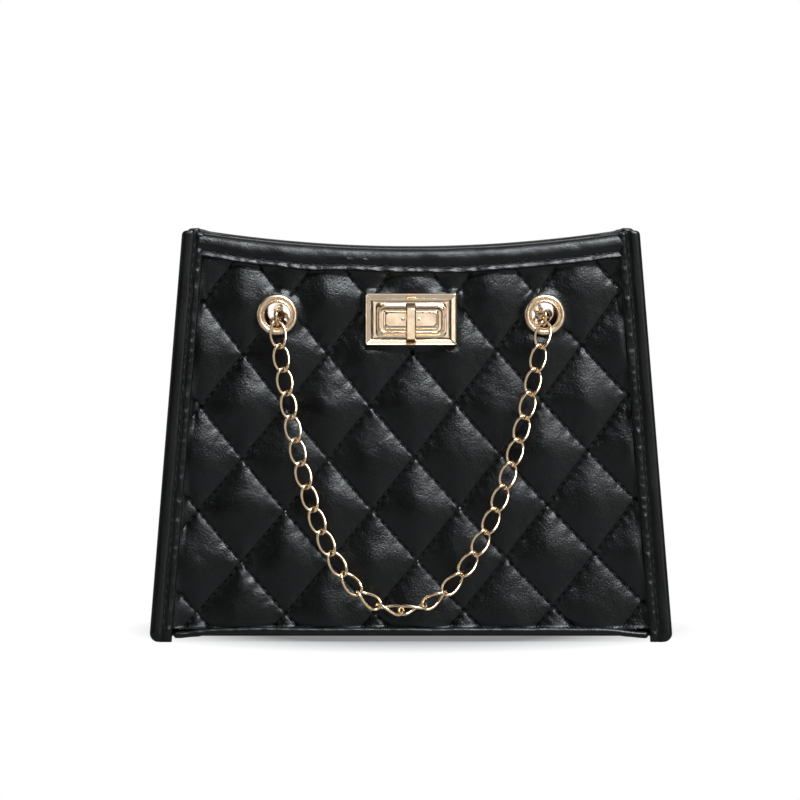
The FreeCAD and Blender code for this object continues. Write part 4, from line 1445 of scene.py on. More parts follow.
# ---- edge bindings and pipings ----
@dataclass
class EdgeBinding(Maker):
    """The tape sewn round a side edge of a panel: a padded outer roll and a flat facing, sewn between them.

    Attributes:
        face: Which panel.
        side: Which side of the bag.
        stations: Steps along it.
        foot_round: Radius of its lower end.
        top_round: Radius of its upper end.
    """

    face: Face
    side: Side
    stations: int = 300
    foot_round: float = 4.4
    top_round: float = 1.9

    def profile(self) -> Array:
        """The section (inset, w): the roll's crown, the sewn groove, the facing, and the back."""
        crown = [(0.1, -1.2), (0.35, 0.25), (1.3, 0.98), (2.9, 1.2), (4.5, 1.02), (5.6, 0.5)]
        groove = [(6.1, 0.12)]
        facing = [(6.6, 0.42), (7.6, 0.85), (8.9, 0.8), (9.9, 0.5), (10.35, -0.15), (9.6, -0.75), (7.2, -0.9)]
        back = [(6.3, -1.4), (6.1, -2.3), (5.5, -2.95), (4.2, -3.25), (2.6, -3.3), (1.1, -3.0), (0.3, -2.3)]
        return closed_spline(crown + groove + facing + back, 56)

    def carried(self, inset: Array, w: Array, v: Array) -> Array:
        """Points (inset, w) of a section at heights v up the side edge."""
        u = self.form.panel_side(self.side, self.face) * (self.form.half_width(v) - inset)
        return self.form.place(u, v, w, self.face)

    def tape(self) -> Patch:
        """The section carried up the side edge, with small gathers on the facing and both ends rounded.

        Near an end the section shrinks towards its middle as a quarter circle: at a distance d from the end,
        less than r, by r - sqrt(r^2 - (r - d)^2).
        """
        low, high = -self.form.panel_foot / math.cos(self.form.lean), self.form.v_corner
        reach = 1 - np.cos(np.linspace(0, math.pi / 2, 9))
        middle = np.linspace(low + self.foot_round, high - self.top_round, self.stations)[1:-1]
        upper = (high - self.top_round * reach)[::-1]
        v = np.concatenate([low + self.foot_round * reach, middle, upper])[:, None]
        shrink = sum(r - np.sqrt(np.maximum(r**2 - (r - np.minimum(d, r)) ** 2, 0))
                     for r, d in ((self.foot_round, v - low), (self.top_round, high - v)))
        inset, w = (self.profile()[:, k][None, :] for k in range(2))
        inset_now = inset + shrink * smoothstep((6.5 - inset) / 5.0)
        above = w + 1.1
        w_now = w - np.sign(above) * np.minimum(shrink * 0.45, 0.9) * smoothstep(np.abs(above) / 1.5)
        seed = 41 + 2 * self.side.value + (9 if self.face is Face.BACK else 0)
        v = v - 1.3 * smoothstep((inset - 4.5) / 5.5) * smoothstep((v - high + 9) / 9)
        gather = ripples(v, inset * 0.2, 4.6, seed) * 0.17 + ripples(v, inset * 0.5, 13.0, seed + 1) * 0.14
        facing = np.exp(-((inset - 8.2) / 1.6) ** 2) * (w > -0.4)
        crown = np.exp(-((inset - 2.8) / 2.2) ** 2) * (w > -0.6)
        puff = ripples(v, inset * 0.3, 30.0, seed + 2) * 0.12 * crown
        points = self.carried(inset_now, w_now + gather * facing + puff, v)
        points[..., 2] = np.maximum(points[..., 2], 0.0)
        return grid(points, loop=True, caps=True).outward()

    def seam(self) -> Patch:
        """The row of stitches in the groove between roll and facing."""
        v = np.linspace(2.0, self.form.v_corner - 3.0, 1200)
        line = self.carried(np.full_like(v, 6.15), np.full_like(v, 0.16), v)
        return stitches(line, np.broadcast_to(self.form.outward(self.face), line.shape), Stitching.EDGE)

    def add(self) -> None:
        """Builds and adds the tape and its stitches."""
        name = f"{self.face.value}_{self.side.name.lower()}"
        Piece(f"{name}_edge_tape", self.tape(), self.palette.trim, "trim_leather", crease_deg=SOFT,
              stands_for=(f"{name}_binding",)).add()
        Piece(f"{name}_edge_stitches", self.seam(), self.palette.thread, "trim_leather").add()


@dataclass
class BasePieces(Maker):
    """What closes the bag below: leather, cloth lining and the piping round them.

    Attributes:
        pipe: Radius of the piping.
        droop: How much lower the piping lies at its ends.
        arch: How much higher the long pipings are pulled than they were cut.
        tuck: How far the pipings are pulled in under the panels.
    """

    pipe: float = 1.5
    droop: float = 1.9
    arch: float = 0.9
    tuck: float = 0.6

    def plate(self, node: str, sag: float, seed: int) -> Patch:
        """A sheet in the box of a CAD node, that sags and wrinkles a little between its edges.

        Args:
            node: The CAD node.
            sag: How far its middle hangs.
            seed: Which wrinkles.

        Returns:
            The closed patch.
        """
        low, high = (np.array(p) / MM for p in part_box(node))
        x, y = np.meshgrid(np.linspace(low[0], high[0], 90), np.linspace(low[1], high[1], 40), indexing="ij")
        inside = (1 - (x / high[0]) ** 4) * (1 - (y / high[1]) ** 4)
        drop = inside * (sag + 0.12 * ripples(x, y, 30.0, seed))
        return shell(np.stack([x, y, high[2] - drop], -1), np.stack([x, y, low[2] - drop], -1))

    def piping(self, node: str, along_x: bool, seed: int) -> Patch:
        """A covered cord in the place of a CAD node, wavering a little.

        Args:
            node: The CAD node.
            along_x: Whether it runs along X, or along Y.
            seed: Which small waves it has.

        Returns:
            The closed patch.
        """
        low, high = (np.array(p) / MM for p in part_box(node))
        centre = (low + high) / 2
        axis, other = (0, 1) if along_x else (1, 0)
        t = np.linspace(low[axis], high[axis], 260)

        def waver(wavelength: float, more: int) -> Array:
            """Small waves along the cord."""
            return ripples(t, t * 0, wavelength, seed + more)

        end = np.minimum(t - low[axis], high[axis] - t)
        line = np.zeros((len(t), 3))
        line[:, axis] = t
        line[:, other] = centre[other] - math.copysign(self.tuck, centre[other]) + 0.08 * waver(30.0, 0)
        line[:, 2] = centre[2] + 0.08 * waver(26.0, 1) - self.droop * np.exp(-((end / 15) ** 2))
        line[:, 2] += self.arch * along_x
        radius = self.pipe * (1 + 0.03 * waver(8.0, 2) + 0.012 * waver(2.6, 3))
        radius = radius * np.sqrt(np.clip(1 - (1 - np.minimum(end, 1.2) / 1.2) ** 2, 0.05, 1))
        side = np.zeros((len(t), 3))
        side[:, 2] = 1.0
        return tube(line, side, radius, 20)

    def add(self) -> None:
        """Builds and adds the base's pieces."""
        p = self.palette
        base = Piece("base_underside", self.plate("base_leather", -0.2, 61), p.plain, "black_leather",
                     stands_for=("base_leather", "base_board")).add()
        cloth = Piece("base_lining_cloth", self.plate("base_lining", -0.25, 63), p.lining, "lining_cloth",
                      stands_for=("base_lining",)).add()
        width, length, _ = (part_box("base_lining")[1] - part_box("base_lining")[0]) / MM
        Cut(width, length, width * length).declare(cloth, "laid", base)
        edges = [(face.value, True) for face in Face] + [(side.name.lower(), False) for side in Side]
        for k, (name, along_x) in enumerate(edges):
            Piece(f"{name}_piped_edge", self.piping(f"{name}_piping", along_x, 71 + 3 * k), p.trim,
                  "trim_leather", crease_deg=SOFT, stands_for=(f"{name}_piping",)).add()


# ---- sides ----
@dataclass
class Gusset(Maker):
    """One side of the bag: leather outside, cloth inside and a leather facing at the rim.

    Attributes:
        side: Which side.
        neighbours: The panels that it is sewn to.
        cloth: Thickness of the lining.
        wrinkles: Which wrinkles its sheets share.
    """

    side: Side
    neighbours: Sequence[bpy.types.Object]
    cloth: float = 0.5
    wrinkles: int = 91

    def wall(self, depth: float, v: Array, q: Array) -> Array:
        """Points of the side sheet.

        At height v the sheet spans between the panels' inner faces, q from -1 at the front to 1 at the back.
        Its middle tucks in by the fold's depth times v's share of the height, as a soft V: (1 - |q|)^1.25,
        rounded at its tip.

        Args:
            depth: How far inside the leather's outer face.
            v: Heights up the panel.
            q: Shares across the side.

        Returns:
            Array shaped like v with a last axis of 3.
        """
        lift = v / self.form.v_corner
        inner_y = self.form.place(0.0, v, -self.form.stack - 0.05, Face.BACK)[..., 1]
        z = self.form.place(0.0, v, -self.form.stack, Face.BACK)[..., 2]
        tip = 0.004
        away = np.sqrt(q**2 + tip) - math.sqrt(tip)
        tuck = self.form.fold * lift * np.clip(1 - away / (1 - math.sqrt(tip) + tip), 0, 1) ** 1.25
        free = 1 - q**2
        wave = 0.5 * ripples(q * 22, v, 40.0, self.wrinkles)
        wave += 0.16 * ripples(q * 30, v, 13.0, self.wrinkles + 1)
        bulge = free * wave * 0.8 * smoothstep(lift * 4)
        x = self.form.half_width(v) - self.form.roll - depth - tuck - bulge
        dip = 2.2 * free * smoothstep((lift - 0.8) / 0.2)
        return np.stack([self.side.value * x, inner_y * q, z - dip], -1)

    @staticmethod
    def spread(low: float, high: float) -> Sequence[Array]:
        """Heights and shares across, for a sheet between two heights."""
        return np.meshgrid(np.linspace(low, high, 110), np.linspace(-1, 1, 60), indexing="ij")

    def sheet(self, outer: float, thick: float, low: float, high: float) -> Patch:
        """A closed part of the side between two depths and two heights."""
        v, q = self.spread(low, high)
        return shell(self.wall(outer, v, q), self.wall(outer + thick, v, q))

    def cut(self, depth: float, low: float, high: float) -> Cut:
        """The flat piece that a part of the side is made from, measured along the sheet."""
        across = np.linalg.norm(np.diff(self.wall(depth, *self.spread(low, high)), axis=1), axis=2).sum(1)
        return Cut(float(across.max()), high - low, float(across.mean()) * (high - low))

    def stitches(self) -> Patch:
        """Two rows of stitches below the side's rim, outside and inside."""
        rows = []
        q = np.linspace(-0.97, 0.97, 500)
        v = np.full_like(q, self.form.v_corner - self.form.hem_seam)
        for depth, sign in ((0.0, 1.0), (self.form.gusset + 1.25, -1.0)):
            line = self.wall(depth, v, q)
            out = np.zeros_like(line)
            out[:, 0] = sign * self.side.value
            rows.append(stitches(line, out, Stitching.HEM))
        return joined(rows)

    def add(self) -> None:
        """Builds and adds the side's pieces."""
        name, p = self.side.name.lower(), self.palette
        leather, top = self.form.gusset, self.form.v_corner - 0.15
        inside, foot, rim = leather + 0.08, 2.4, top - 9.0
        side = Piece(f"{name}_side_leather", self.sheet(0.0, leather, 0.0, top), p.plain, "black_leather",
                     crease_deg=SOFT, stands_for=(f"{name}_gusset",)).add()
        self.cut(leather / 2, 0.0, top).declare(side, "folded", *self.neighbours)
        lining = Piece(f"{name}_side_lining", self.sheet(inside, self.cloth, foot, rim), p.lining,
                       "lining_cloth", crease_deg=SOFT, stands_for=(f"{name}_gusset_lining",)).add()
        self.cut(inside + self.cloth / 2, foot, rim).declare(lining, "folded", side)
        facing = self.sheet(leather + 0.05, 1.1, top - self.form.hem, top + 0.1)
        Piece(f"{name}_side_facing", facing, p.trim, "black_leather", crease_deg=SOFT,
              stands_for=(f"{name}_gusset_facing",)).add()
        Piece(f"{name}_side_stitches", self.stitches(), p.thread, "black_leather").add()


# ---- eyelets ----
@dataclass
class Eyelet(Maker):
    """A turned eyelet: a domed flange with a groove and an inner lip, a barrel, and a curl behind the panel.

    Attributes:
        face: Which panel.
        side: Which side.
    """

    face: Face
    side: Side

    def add(self) -> None:
        """Turns the section round the eyelet's axis, 96 steps, and adds it."""
        bore = [(5.9, -5.9), (5.9, -3.0), (5.9, 0.3), (5.95, 1.0), (6.15, 1.26), (6.42, 1.2)]
        flange = [(6.62, 0.92), (6.82, 1.05), (7.3, 1.46), (8.0, 1.62), (8.7, 1.38), (9.2, 0.8), (9.4, 0.1)]
        barrel = [(9.15, -0.2), (8.0, -0.15), (6.6, -0.3), (6.4, -1.2), (6.4, -4.6)]
        curl = [(6.45, -5.3), (7.3, -5.35), (7.6, -5.7), (7.3, -5.95), (6.5, -6.1)]
        section = closed_spline(bore + flange + barrel + curl, 88)
        angle = np.linspace(0, math.tau, 96, endpoint=False)[:, None]
        centre_u = self.form.panel_side(self.side, self.face) * self.fittings.eyelet_u
        u = centre_u + section[:, 0] * np.cos(angle)
        v = self.fittings.eyelet_v + section[:, 0] * np.sin(angle)
        points = self.form.place(u, v, np.broadcast_to(section[:, 1], u.shape), self.face)
        name = f"{self.face.value}_{self.side.name.lower()}_eyelet"
        Piece(f"{name}_turned", grid(points, ring=True, loop=True).outward(), self.palette.eyelet,
              "pale_gold", stands_for=(name,), crease_deg=70).add()


# ---- turn lock ----
@dataclass
class TurnLock(Maker):
    """The lock: a bevelled frame on the front panel, a block that passes through it, and the bar that turns.

    Attributes:
        boss_half: Half the block's width and height.
        boss_top: Height of its face.
        bar_half: Half the bar's width.
        bar_span: The bar's lower and upper ends from the lock's centre.
        bar_low: Height of its back.
        bar_high: Height of its face.
        chamfer: Width of the bar's chamfers.
        rivet_u: Distance of the block's rivets from its middle.
        crease_deg: Edges of frame and block sharper than this are sharp.
    """

    boss_half: tuple[float, float] = (12.6, 4.4)
    boss_top: float = 2.6
    bar_half: float = 2.3
    bar_span: tuple[float, float] = (-9.3, 7.3)
    bar_low: float = 3.3
    bar_high: float = 6.2
    chamfer: float = 0.62
    rivet_u: float = 3.6
    crease_deg: float = 34.0

    def rings(self, sections: Sequence[tuple[float, float, float, float]]) -> Array:
        """Rounded rectangles about the lock's centre, a row for each (half width, half height, radius, w)."""
        rows = []
        for half_u, half_v, radius, w in sections:
            loop = rounded_rectangle(half_u, half_v, radius)
            rows.append(self.form.place(loop[:, 0], loop[:, 1] + self.fittings.lock_v, w, Face.FRONT))
        return np.stack(rows)

    def frame(self) -> Patch:
        """The frame: straight side, narrow crest, inward bevel, hollow, raised rim and the slot's wall."""
        side = [(20.5, 11.7, 0.7, -0.05), (20.5, 11.7, 0.7, 2.5), (20.44, 11.64, 0.7, 2.76)]
        crest = [(20.28, 11.48, 0.7, 2.96), (20.08, 11.28, 0.65, 3.06), (19.9, 11.1, 0.6, 3.02)]
        bevel = [(18.38, 9.58, 0.5, 1.98), (18.3, 9.5, 0.5, 1.62), (18.14, 9.34, 0.5, 1.5)]
        hollow = [(17.2, 8.55, 0.9, 1.38), (16.2, 7.8, 1.5, 1.28), (15.6, 7.3, 2.1, 1.34),
                  (15.2, 7.02, 2.6, 1.52), (14.98, 6.82, 3.1, 1.8)]
        rim = [(14.88, 6.7, 3.2, 2.2), (14.78, 6.6, 3.2, 2.45), (14.55, 6.35, 3.1, 2.6),
               (14.15, 5.85, 2.7, 2.6), (13.85, 5.5, 2.2, 2.48)]
        slot = [(13.72, 5.33, 2.0, 2.25), (13.7, 5.3, 2.0, -0.05)]
        points = self.rings(side + crest + bevel + hollow + rim + slot)
        return grid(points, ring=True, loop=True).outward()

    def block(self) -> Patch:
        """The block: from its flange behind the panel to a face with a bevelled edge."""
        top = self.boss_top
        steps = [(3.2, 1.5, -6.65), (3.2, 1.5, -5.75), (0, 1.5, -5.75), (0, 1.5, top - 0.85),
                 (-0.06, 1.45, top - 0.7), (-0.9, 1.1, top - 0.1), (-1.05, 1.0, top), (-1.9, 0.7, top)]
        a, b = self.boss_half
        points = self.rings([(a + wider, b + wider, radius, w) for wider, radius, w in steps])
        return grid(points, loop=True, caps=True).outward()

    def bar(self) -> Patch:
        """The bar: a chamfered section carried along it, its upper end sloping back to a low nose."""
        low, high = self.bar_span
        v = np.array([low, low + 0.12, low + 0.35, high - 2.8, high - 2.45, high - 0.25, high - 0.06, high])
        face = np.array([self.bar_high - 0.35, self.bar_high - 0.1, self.bar_high, self.bar_high,
                         self.bar_high - 0.2, self.bar_low + 0.8, self.bar_low + 0.5, self.bar_low + 0.3])
        half = self.bar_half - np.array([0.3, 0.1, 0, 0, 0, 0.05, 0.15, 0.3])
        rise = np.maximum(face - self.bar_low, 0.05)
        cut = np.minimum(self.chamfer, rise * 0.6)
        u = np.stack([-half, -half, -half + cut, half - cut, half, half], -1)
        w = np.stack([np.full_like(v, self.bar_low), face - cut, face, face, face - cut,
                      np.full_like(v, self.bar_low)], -1)
        points = self.form.place(u, v[:, None] + self.fittings.lock_v, w, Face.FRONT)
        return grid(points, loop=True, caps=True).outward()

    def turned(self, centre_u: float, section: Sequence[tuple[float, float]], steps: int = 40) -> Patch:
        """A solid turned about w at a point of the lock: rows of (radius, w), closed at both ends."""
        angle = np.linspace(0, math.tau, steps, endpoint=False)[None, :]
        radius, w = (np.array(section)[:, k][:, None] for k in range(2))
        u, v = centre_u + radius * np.cos(angle), self.fittings.lock_v + radius * np.sin(angle)
        return grid(self.form.place(u, v, w, Face.FRONT), loop=True, caps=True).outward()

    def add(self) -> None:
        """Builds and adds the lock's pieces."""
        gold, crease = self.palette.gold, self.crease_deg
        Piece("lock_bevelled_frame", self.frame(), gold, "pale_gold", crease_deg=crease, machined=True,
              stands_for=("lock_frame",)).add()
        Piece("lock_block", self.block(), gold, "pale_gold", crease_deg=crease, machined=True,
              stands_for=("lock_boss",)).add()
        collar = self.turned(0.0, [(2.2, 2.65), (2.2, 3.4)])
        stem = self.turned(0.0, [(1.5, -6.3), (1.5, 3.0)], 24)
        Piece("lock_turning_bar", joined([self.bar(), collar, stem]), gold, "pale_gold", body="toggle",
              crease_deg=18, stands_for=("lock_toggle",), bevel=0.1, machined=True).add()
        head = [(0.5, -9.6), (0.5, 2.5), (0.8, 2.5), (0.78, 2.62), (0.6, 2.72), (0.3, 2.76)]
        tail = [(0.9, -10.1), (0.9, -9.75), (0.7, -9.7)]
        heads, tails = ([self.turned(sign * self.rivet_u, section, 20) for sign in (-1, 1)]
                        for section in (head, tail))
        Piece("lock_small_rivets", joined(heads + tails), self.palette.chain, "pale_gold",
              stands_for=("lock_rivets",)).add()


# ---- closure tab ----
@dataclass
class ClosureTab(Maker):
    """The leather strap that carries the lock's block: it arches from the back lining over to the front.

    Attributes:
        width: Its width.
        thick: Its thickness.
        tail: Its length below the lock's centre.
        root: Its length on the back lining.
        front_w: Its middle layer's height in the front panel's frame.
        under_rim: Its top's distance below the rim's middle.
        end_round: Radius of its ends' corners.
    """

    width: float = 30.0
    thick: float = 2.2
    tail: float = 15.0
    root: float = 25.0
    front_w: float = -7.8
    under_rim: float = 4.0
    end_round: float = 5.5

    def route(self) -> tuple[Array, Array]:
        """The strap's middle line in the YZ plane and its outward direction: straight, an arch, straight.

        Returns:
            Points (n, 2) and directions (n, 2), from the front end to the back end.
        """
        f = self.form
        sin, cos = math.sin(f.lean), math.cos(f.lean)
        back_w = -f.stack - self.thick / 2
        top = f.height - f.rim_dip - self.under_rim - self.thick / 2
        centre_y = (back_w - self.front_w) / 2 / cos
        reach = cos * (f.depth_foot / 2 - centre_y) - sin * (top - f.panel_foot) + back_w
        radius = reach / (1 - sin)
        centre_z = top - radius
        v_front = sin * (centre_y + f.depth_foot / 2) + cos * (centre_z - f.panel_foot)
        v_back = sin * (f.depth_foot / 2 - centre_y) + cos * (centre_z - f.panel_foot)
        up = np.linspace(self.fittings.lock_v - self.tail, v_front, 70)[:-1]
        front = f.place(0.0, up, self.front_w, Face.FRONT)[:, 1:]
        down = np.linspace(v_back, v_back - self.root, 40)[1:]
        back = f.place(0.0, down, back_w, Face.BACK)[:, 1:]
        angle = np.linspace(math.pi - f.lean, f.lean, 60)
        arch = np.stack([centre_y + radius * np.cos(angle), centre_z + radius * np.sin(angle)], -1)
        out_front = np.broadcast_to([-cos, sin], front.shape)
        out_back = np.broadcast_to([cos, sin], back.shape)
        out_arch = np.stack([np.cos(angle), np.sin(angle)], -1)
        return np.concatenate([front, arch, back]), np.concatenate([out_front, out_arch, out_back])

    def strap(self) -> Patch:
        """A flat section with soft edges carried along the route; both ends are rounded."""
        line, out = self.route()
        reach = np.concatenate([[0], np.cumsum(np.linalg.norm(np.diff(line, axis=0), axis=1))])
        end = self.end_round
        near = np.minimum(np.minimum(reach, reach[-1] - reach), end)
        narrowing = end - np.sqrt(np.maximum(end**2 - (end - near) ** 2, 0))
        half = self.width / 2 - narrowing * 0.95
        half_section = [(-0.93, 1), (-0.5, 1), (0.5, 1), (0.93, 1), (1, 0.4), (1, -0.4)]
        section = closed_spline(half_section + [(-x, -y) for x, y in half_section], 60)
        x = section[:, 0][None] * half[:, None]
        lift = section[:, 1][None] * self.thick / 2 * (1 + 0.03 * ripples(reach[:, None], x, 18.0, 101))
        yz = line[:, None] + out[:, None] * lift[..., None]
        points = np.concatenate([x[..., None], yz], -1)
        return grid(points, loop=True, caps=True).outward()

    def edge_stitches(self) -> Patch:
        """A row of stitches along each long edge, on both faces."""
        line, out = self.route()
        rows = []
        for sign in (-1, 1):
            for lift in (1, -1):
                x = np.full((len(line), 1), sign * (self.width / 2 - 2.8))
                points = np.concatenate([x, line + out * (lift * (self.thick / 2 - 0.02))], 1)
                normal = np.concatenate([x * 0, out * lift], 1)
                rows.append(stitches(points[14:-12], normal[14:-12], Stitching.EDGE))
        return joined(rows)

    def add(self) -> None:
        """Builds and adds the strap and its stitches."""
        Piece("lock_tab_strap", self.strap(), self.palette.trim, "black_leather", crease_deg=60,
              stands_for=("closure_tab",)).add()
        Piece("lock_tab_stitches", self.edge_stitches(), self.palette.thread, "black_leather").add()


# ---- chain ----
@dataclass
class ChainStrap(Maker):
    """The chain: an outer run on each face, and a run through the eyelets on each side.

    Attributes:
        wire: Radius of the wire.
        half_link: Radius of a link's ends, to the wire's centre.
        twist_deg: How far each end is turned out of the link's plane.
        pitch: Length of chain that one link adds.
        gap: Daylight between two links.
        reach: Height of the lowest link's middle up the panel.
        drift: How far the lowest link lies to the side.
        rolled: Links over which the strap turns over at the bottom.
        slack: Length of the inner chain over the straight line.
        steps: Points along a link's wire.
        around: Points round it.
    """

    wire: float = 0.7
    half_link: float = 3.5
    twist_deg: float = 42.0
    pitch: float = 10.8
    gap: float = 0.25
    reach: float = 8.0
    drift: float = -4.5
    rolled: float = 9.0
    slack: float = 1.014
    steps: int = 72
    around: int = 12

    @property
    def link_length(self) -> float:
        """Length of a link between its ends' centre lines."""
        return self.pitch + 2 * self.wire + self.gap

    def link(self, length: float) -> Patch:
        """One link along Z.

        Its wire follows an oval, |x / a|^2.35 + |z / b|^2.35 = 1, whose plane turns evenly from minus the
        twist at its lower end to plus the twist at its upper end.

        Args:
            length: Length between the ends' centre lines.

        Returns:
            The closed patch.
        """
        s = np.linspace(0, math.tau, self.steps, endpoint=False)
        power = 2 / 2.35
        z = length / 2 * np.sign(np.sin(s)) * np.abs(np.sin(s)) ** power
        x = (self.half_link - 0.15) * np.sign(np.cos(s)) * np.abs(np.cos(s)) ** power
        turn = math.radians(self.twist_deg + 3) * z / (length / 2)
        line = np.stack([x * np.cos(turn), x * np.sin(turn), z], -1)
        side = np.stack([-np.sin(turn), np.cos(turn), np.zeros_like(turn)], -1)
        return tube(line, side, np.full(len(s), self.wire), self.around, closed=True)

    @staticmethod
    def hung(link: Patch, upper: Array, lower: Array, normal: Array, roll: float) -> Patch:
        """A link between two pivots. At roll 0 it lies square to normal, and roll turns it about its length.

        Args:
            link: The link along Z.
            upper: One pivot.
            lower: The other.
            normal: Direction out of the plane that the chain lies in.
            roll: Degrees.

        Returns:
            The placed link.
        """
        along = (upper - lower) / np.linalg.norm(upper - lower)
        across = np.cross(normal, along)
        across /= np.linalg.norm(across)
        out = np.cross(along, across)
        turned = across * math.cos(math.radians(roll)) + out * math.sin(math.radians(roll))
        basis = np.stack([turned, np.cross(along, turned), along])
        return Patch(link.points @ basis + (upper + lower) / 2, link.quads)

    @staticmethod
    def catenary(half_length: float, half_span: float) -> float:
        """The parameter a of the catenary a cosh(x / a) with this half length."""
        return halved(lambda a: a * math.sinh(half_span / a) > half_length, half_span / 20, half_span * 20)

    def pivots(self) -> Array:
        """Points (u, v, w) where the outer run's links meet: equal steps along a catenary that drifts."""
        first = self.fittings.hook_v - (self.half_link - 2 * self.wire - self.gap) - self.wire - self.gap / 2
        half_span = self.fittings.eyelet_u
        wanted = halved(lambda a: a * (math.cosh(half_span / a) - 1) > first - self.reach,
                        half_span / 20, half_span * 20)
        count = 2 * round(wanted * math.sinh(half_span / wanted) / self.pitch)
        bend = self.catenary(count * self.pitch / 2, half_span)
        x = bend * np.arcsinh((np.arange(count + 1) - count / 2) * self.pitch / bend)
        sag = bend * (math.cosh(half_span / bend) - 1)
        depth = sag - bend * (np.cosh(x / bend) - 1)
        w = np.full_like(x, self.fittings.hook_w)
        return np.stack([x + self.drift * depth / sag, first - depth, w], -1)

    def outer_run(self, face: Face) -> Patch:
        """The run that hangs in front of a panel; it turns over through half a turn at the bottom."""
        pivots = self.pivots()
        count = len(pivots) - 1
        link = self.link(self.link_length)
        roll = 180 * smoothstep(0.5 + (np.arange(count) + 0.5 - count / 2) / self.rolled)
        out = np.array([0.0, 0.0, 1.0])
        patch = joined([self.hung(link, a, b, out, turn) for a, b, turn in zip(pivots, pivots[1:], roll)])
        patch.points = self.form.place(*patch.points.T, face)
        return patch.outward()

    def inner_run(self, side: Side) -> Patch:
        """The run through the eyelets on one side: a link through each, and a nearly taut run between them.

        The middle links' slopes fall evenly from one end to the other, so that the run just spans the gap.
        """
        f, u = self.form, side.value * self.fittings.eyelet_u
        hook_w = self.fittings.hook_w
        outer_w = hook_w + self.half_link - self.gap / 2 - self.wire
        inner_w = hook_w + self.half_link + self.gap / 2 + self.wire - self.link_length
        outer, inner = (f.place(u, self.fittings.hook_v, w, Face.FRONT) for w in (outer_w, inner_w))
        mirror = np.array([1.0, -1.0, 1.0])
        far_outer, far_inner = outer * mirror, inner * mirror
        span = far_inner[1] - inner[1]
        count = max(2, round(span / self.pitch))
        pitch = span * self.slack / count
        fall = 1 - 2 * np.arange(count) / (count - 1)
        slopes = fall * halved(lambda first: np.cos(first * fall).sum() * pitch > span, 0.0, math.pi / 3, 60)
        moves = np.stack([np.zeros(count), np.cos(slopes), -np.sin(slopes)], -1) * pitch
        points = np.concatenate([[inner], inner + np.cumsum(moves, 0)])
        end, middle = self.link(self.link_length), self.link(pitch + 2 * self.wire + self.gap)
        between = [(middle, a, b) for a, b in zip(points, points[1:])]
        runs = [(end, outer, inner), *between, (end, far_inner, far_outer)]
        start, turn = 90 - self.twist_deg, 2 * self.twist_deg / (len(runs) - 1)
        links = []
        for k, (link, a, b) in enumerate(runs):
            normal = np.cross((a - b) / np.linalg.norm(a - b), [1.0, 0.0, 0.0])
            links.append(self.hung(link, a, b, normal, start + k * turn))
        return joined(links).outward()

    def add(self) -> None:
        """Builds and adds the four runs."""
        for face in Face:
            Piece(f"{face.value}_chain_links", self.outer_run(face), self.palette.chain, "chain_gold",
                  body=f"{face.value}_strap", stands_for=(f"{face.value}_chain",), crease_deg=SOFT).add()
        for side in Side:
            name = side.name.lower()
            Piece(f"{name}_inner_chain_links", self.inner_run(side), self.palette.chain, "chain_gold",
                  stands_for=(f"{name}_inner_chain",), crease_deg=SOFT).add()


# ---- carried-over metal ----
def dress_cad_metal(palette: Palette) -> None:
    """Gives the CAD pieces that stay visible their plating.

    Args:
        palette: The finishes.
    """
    small = ["lock_frame_backplate", "lock_tab_plate", "lock_spring_washer", "lock_toggle_retainer"]
    small += [f"{face.value}_{side.name.lower()}_eyelet_washer" for face in Face for side in Side]
    for name in small:
        mesh = frame["nodes"][name].data
        mesh.materials.clear()
        mesh.materials.append(palette.gold)
        LOG.info("%s: dressed", name)


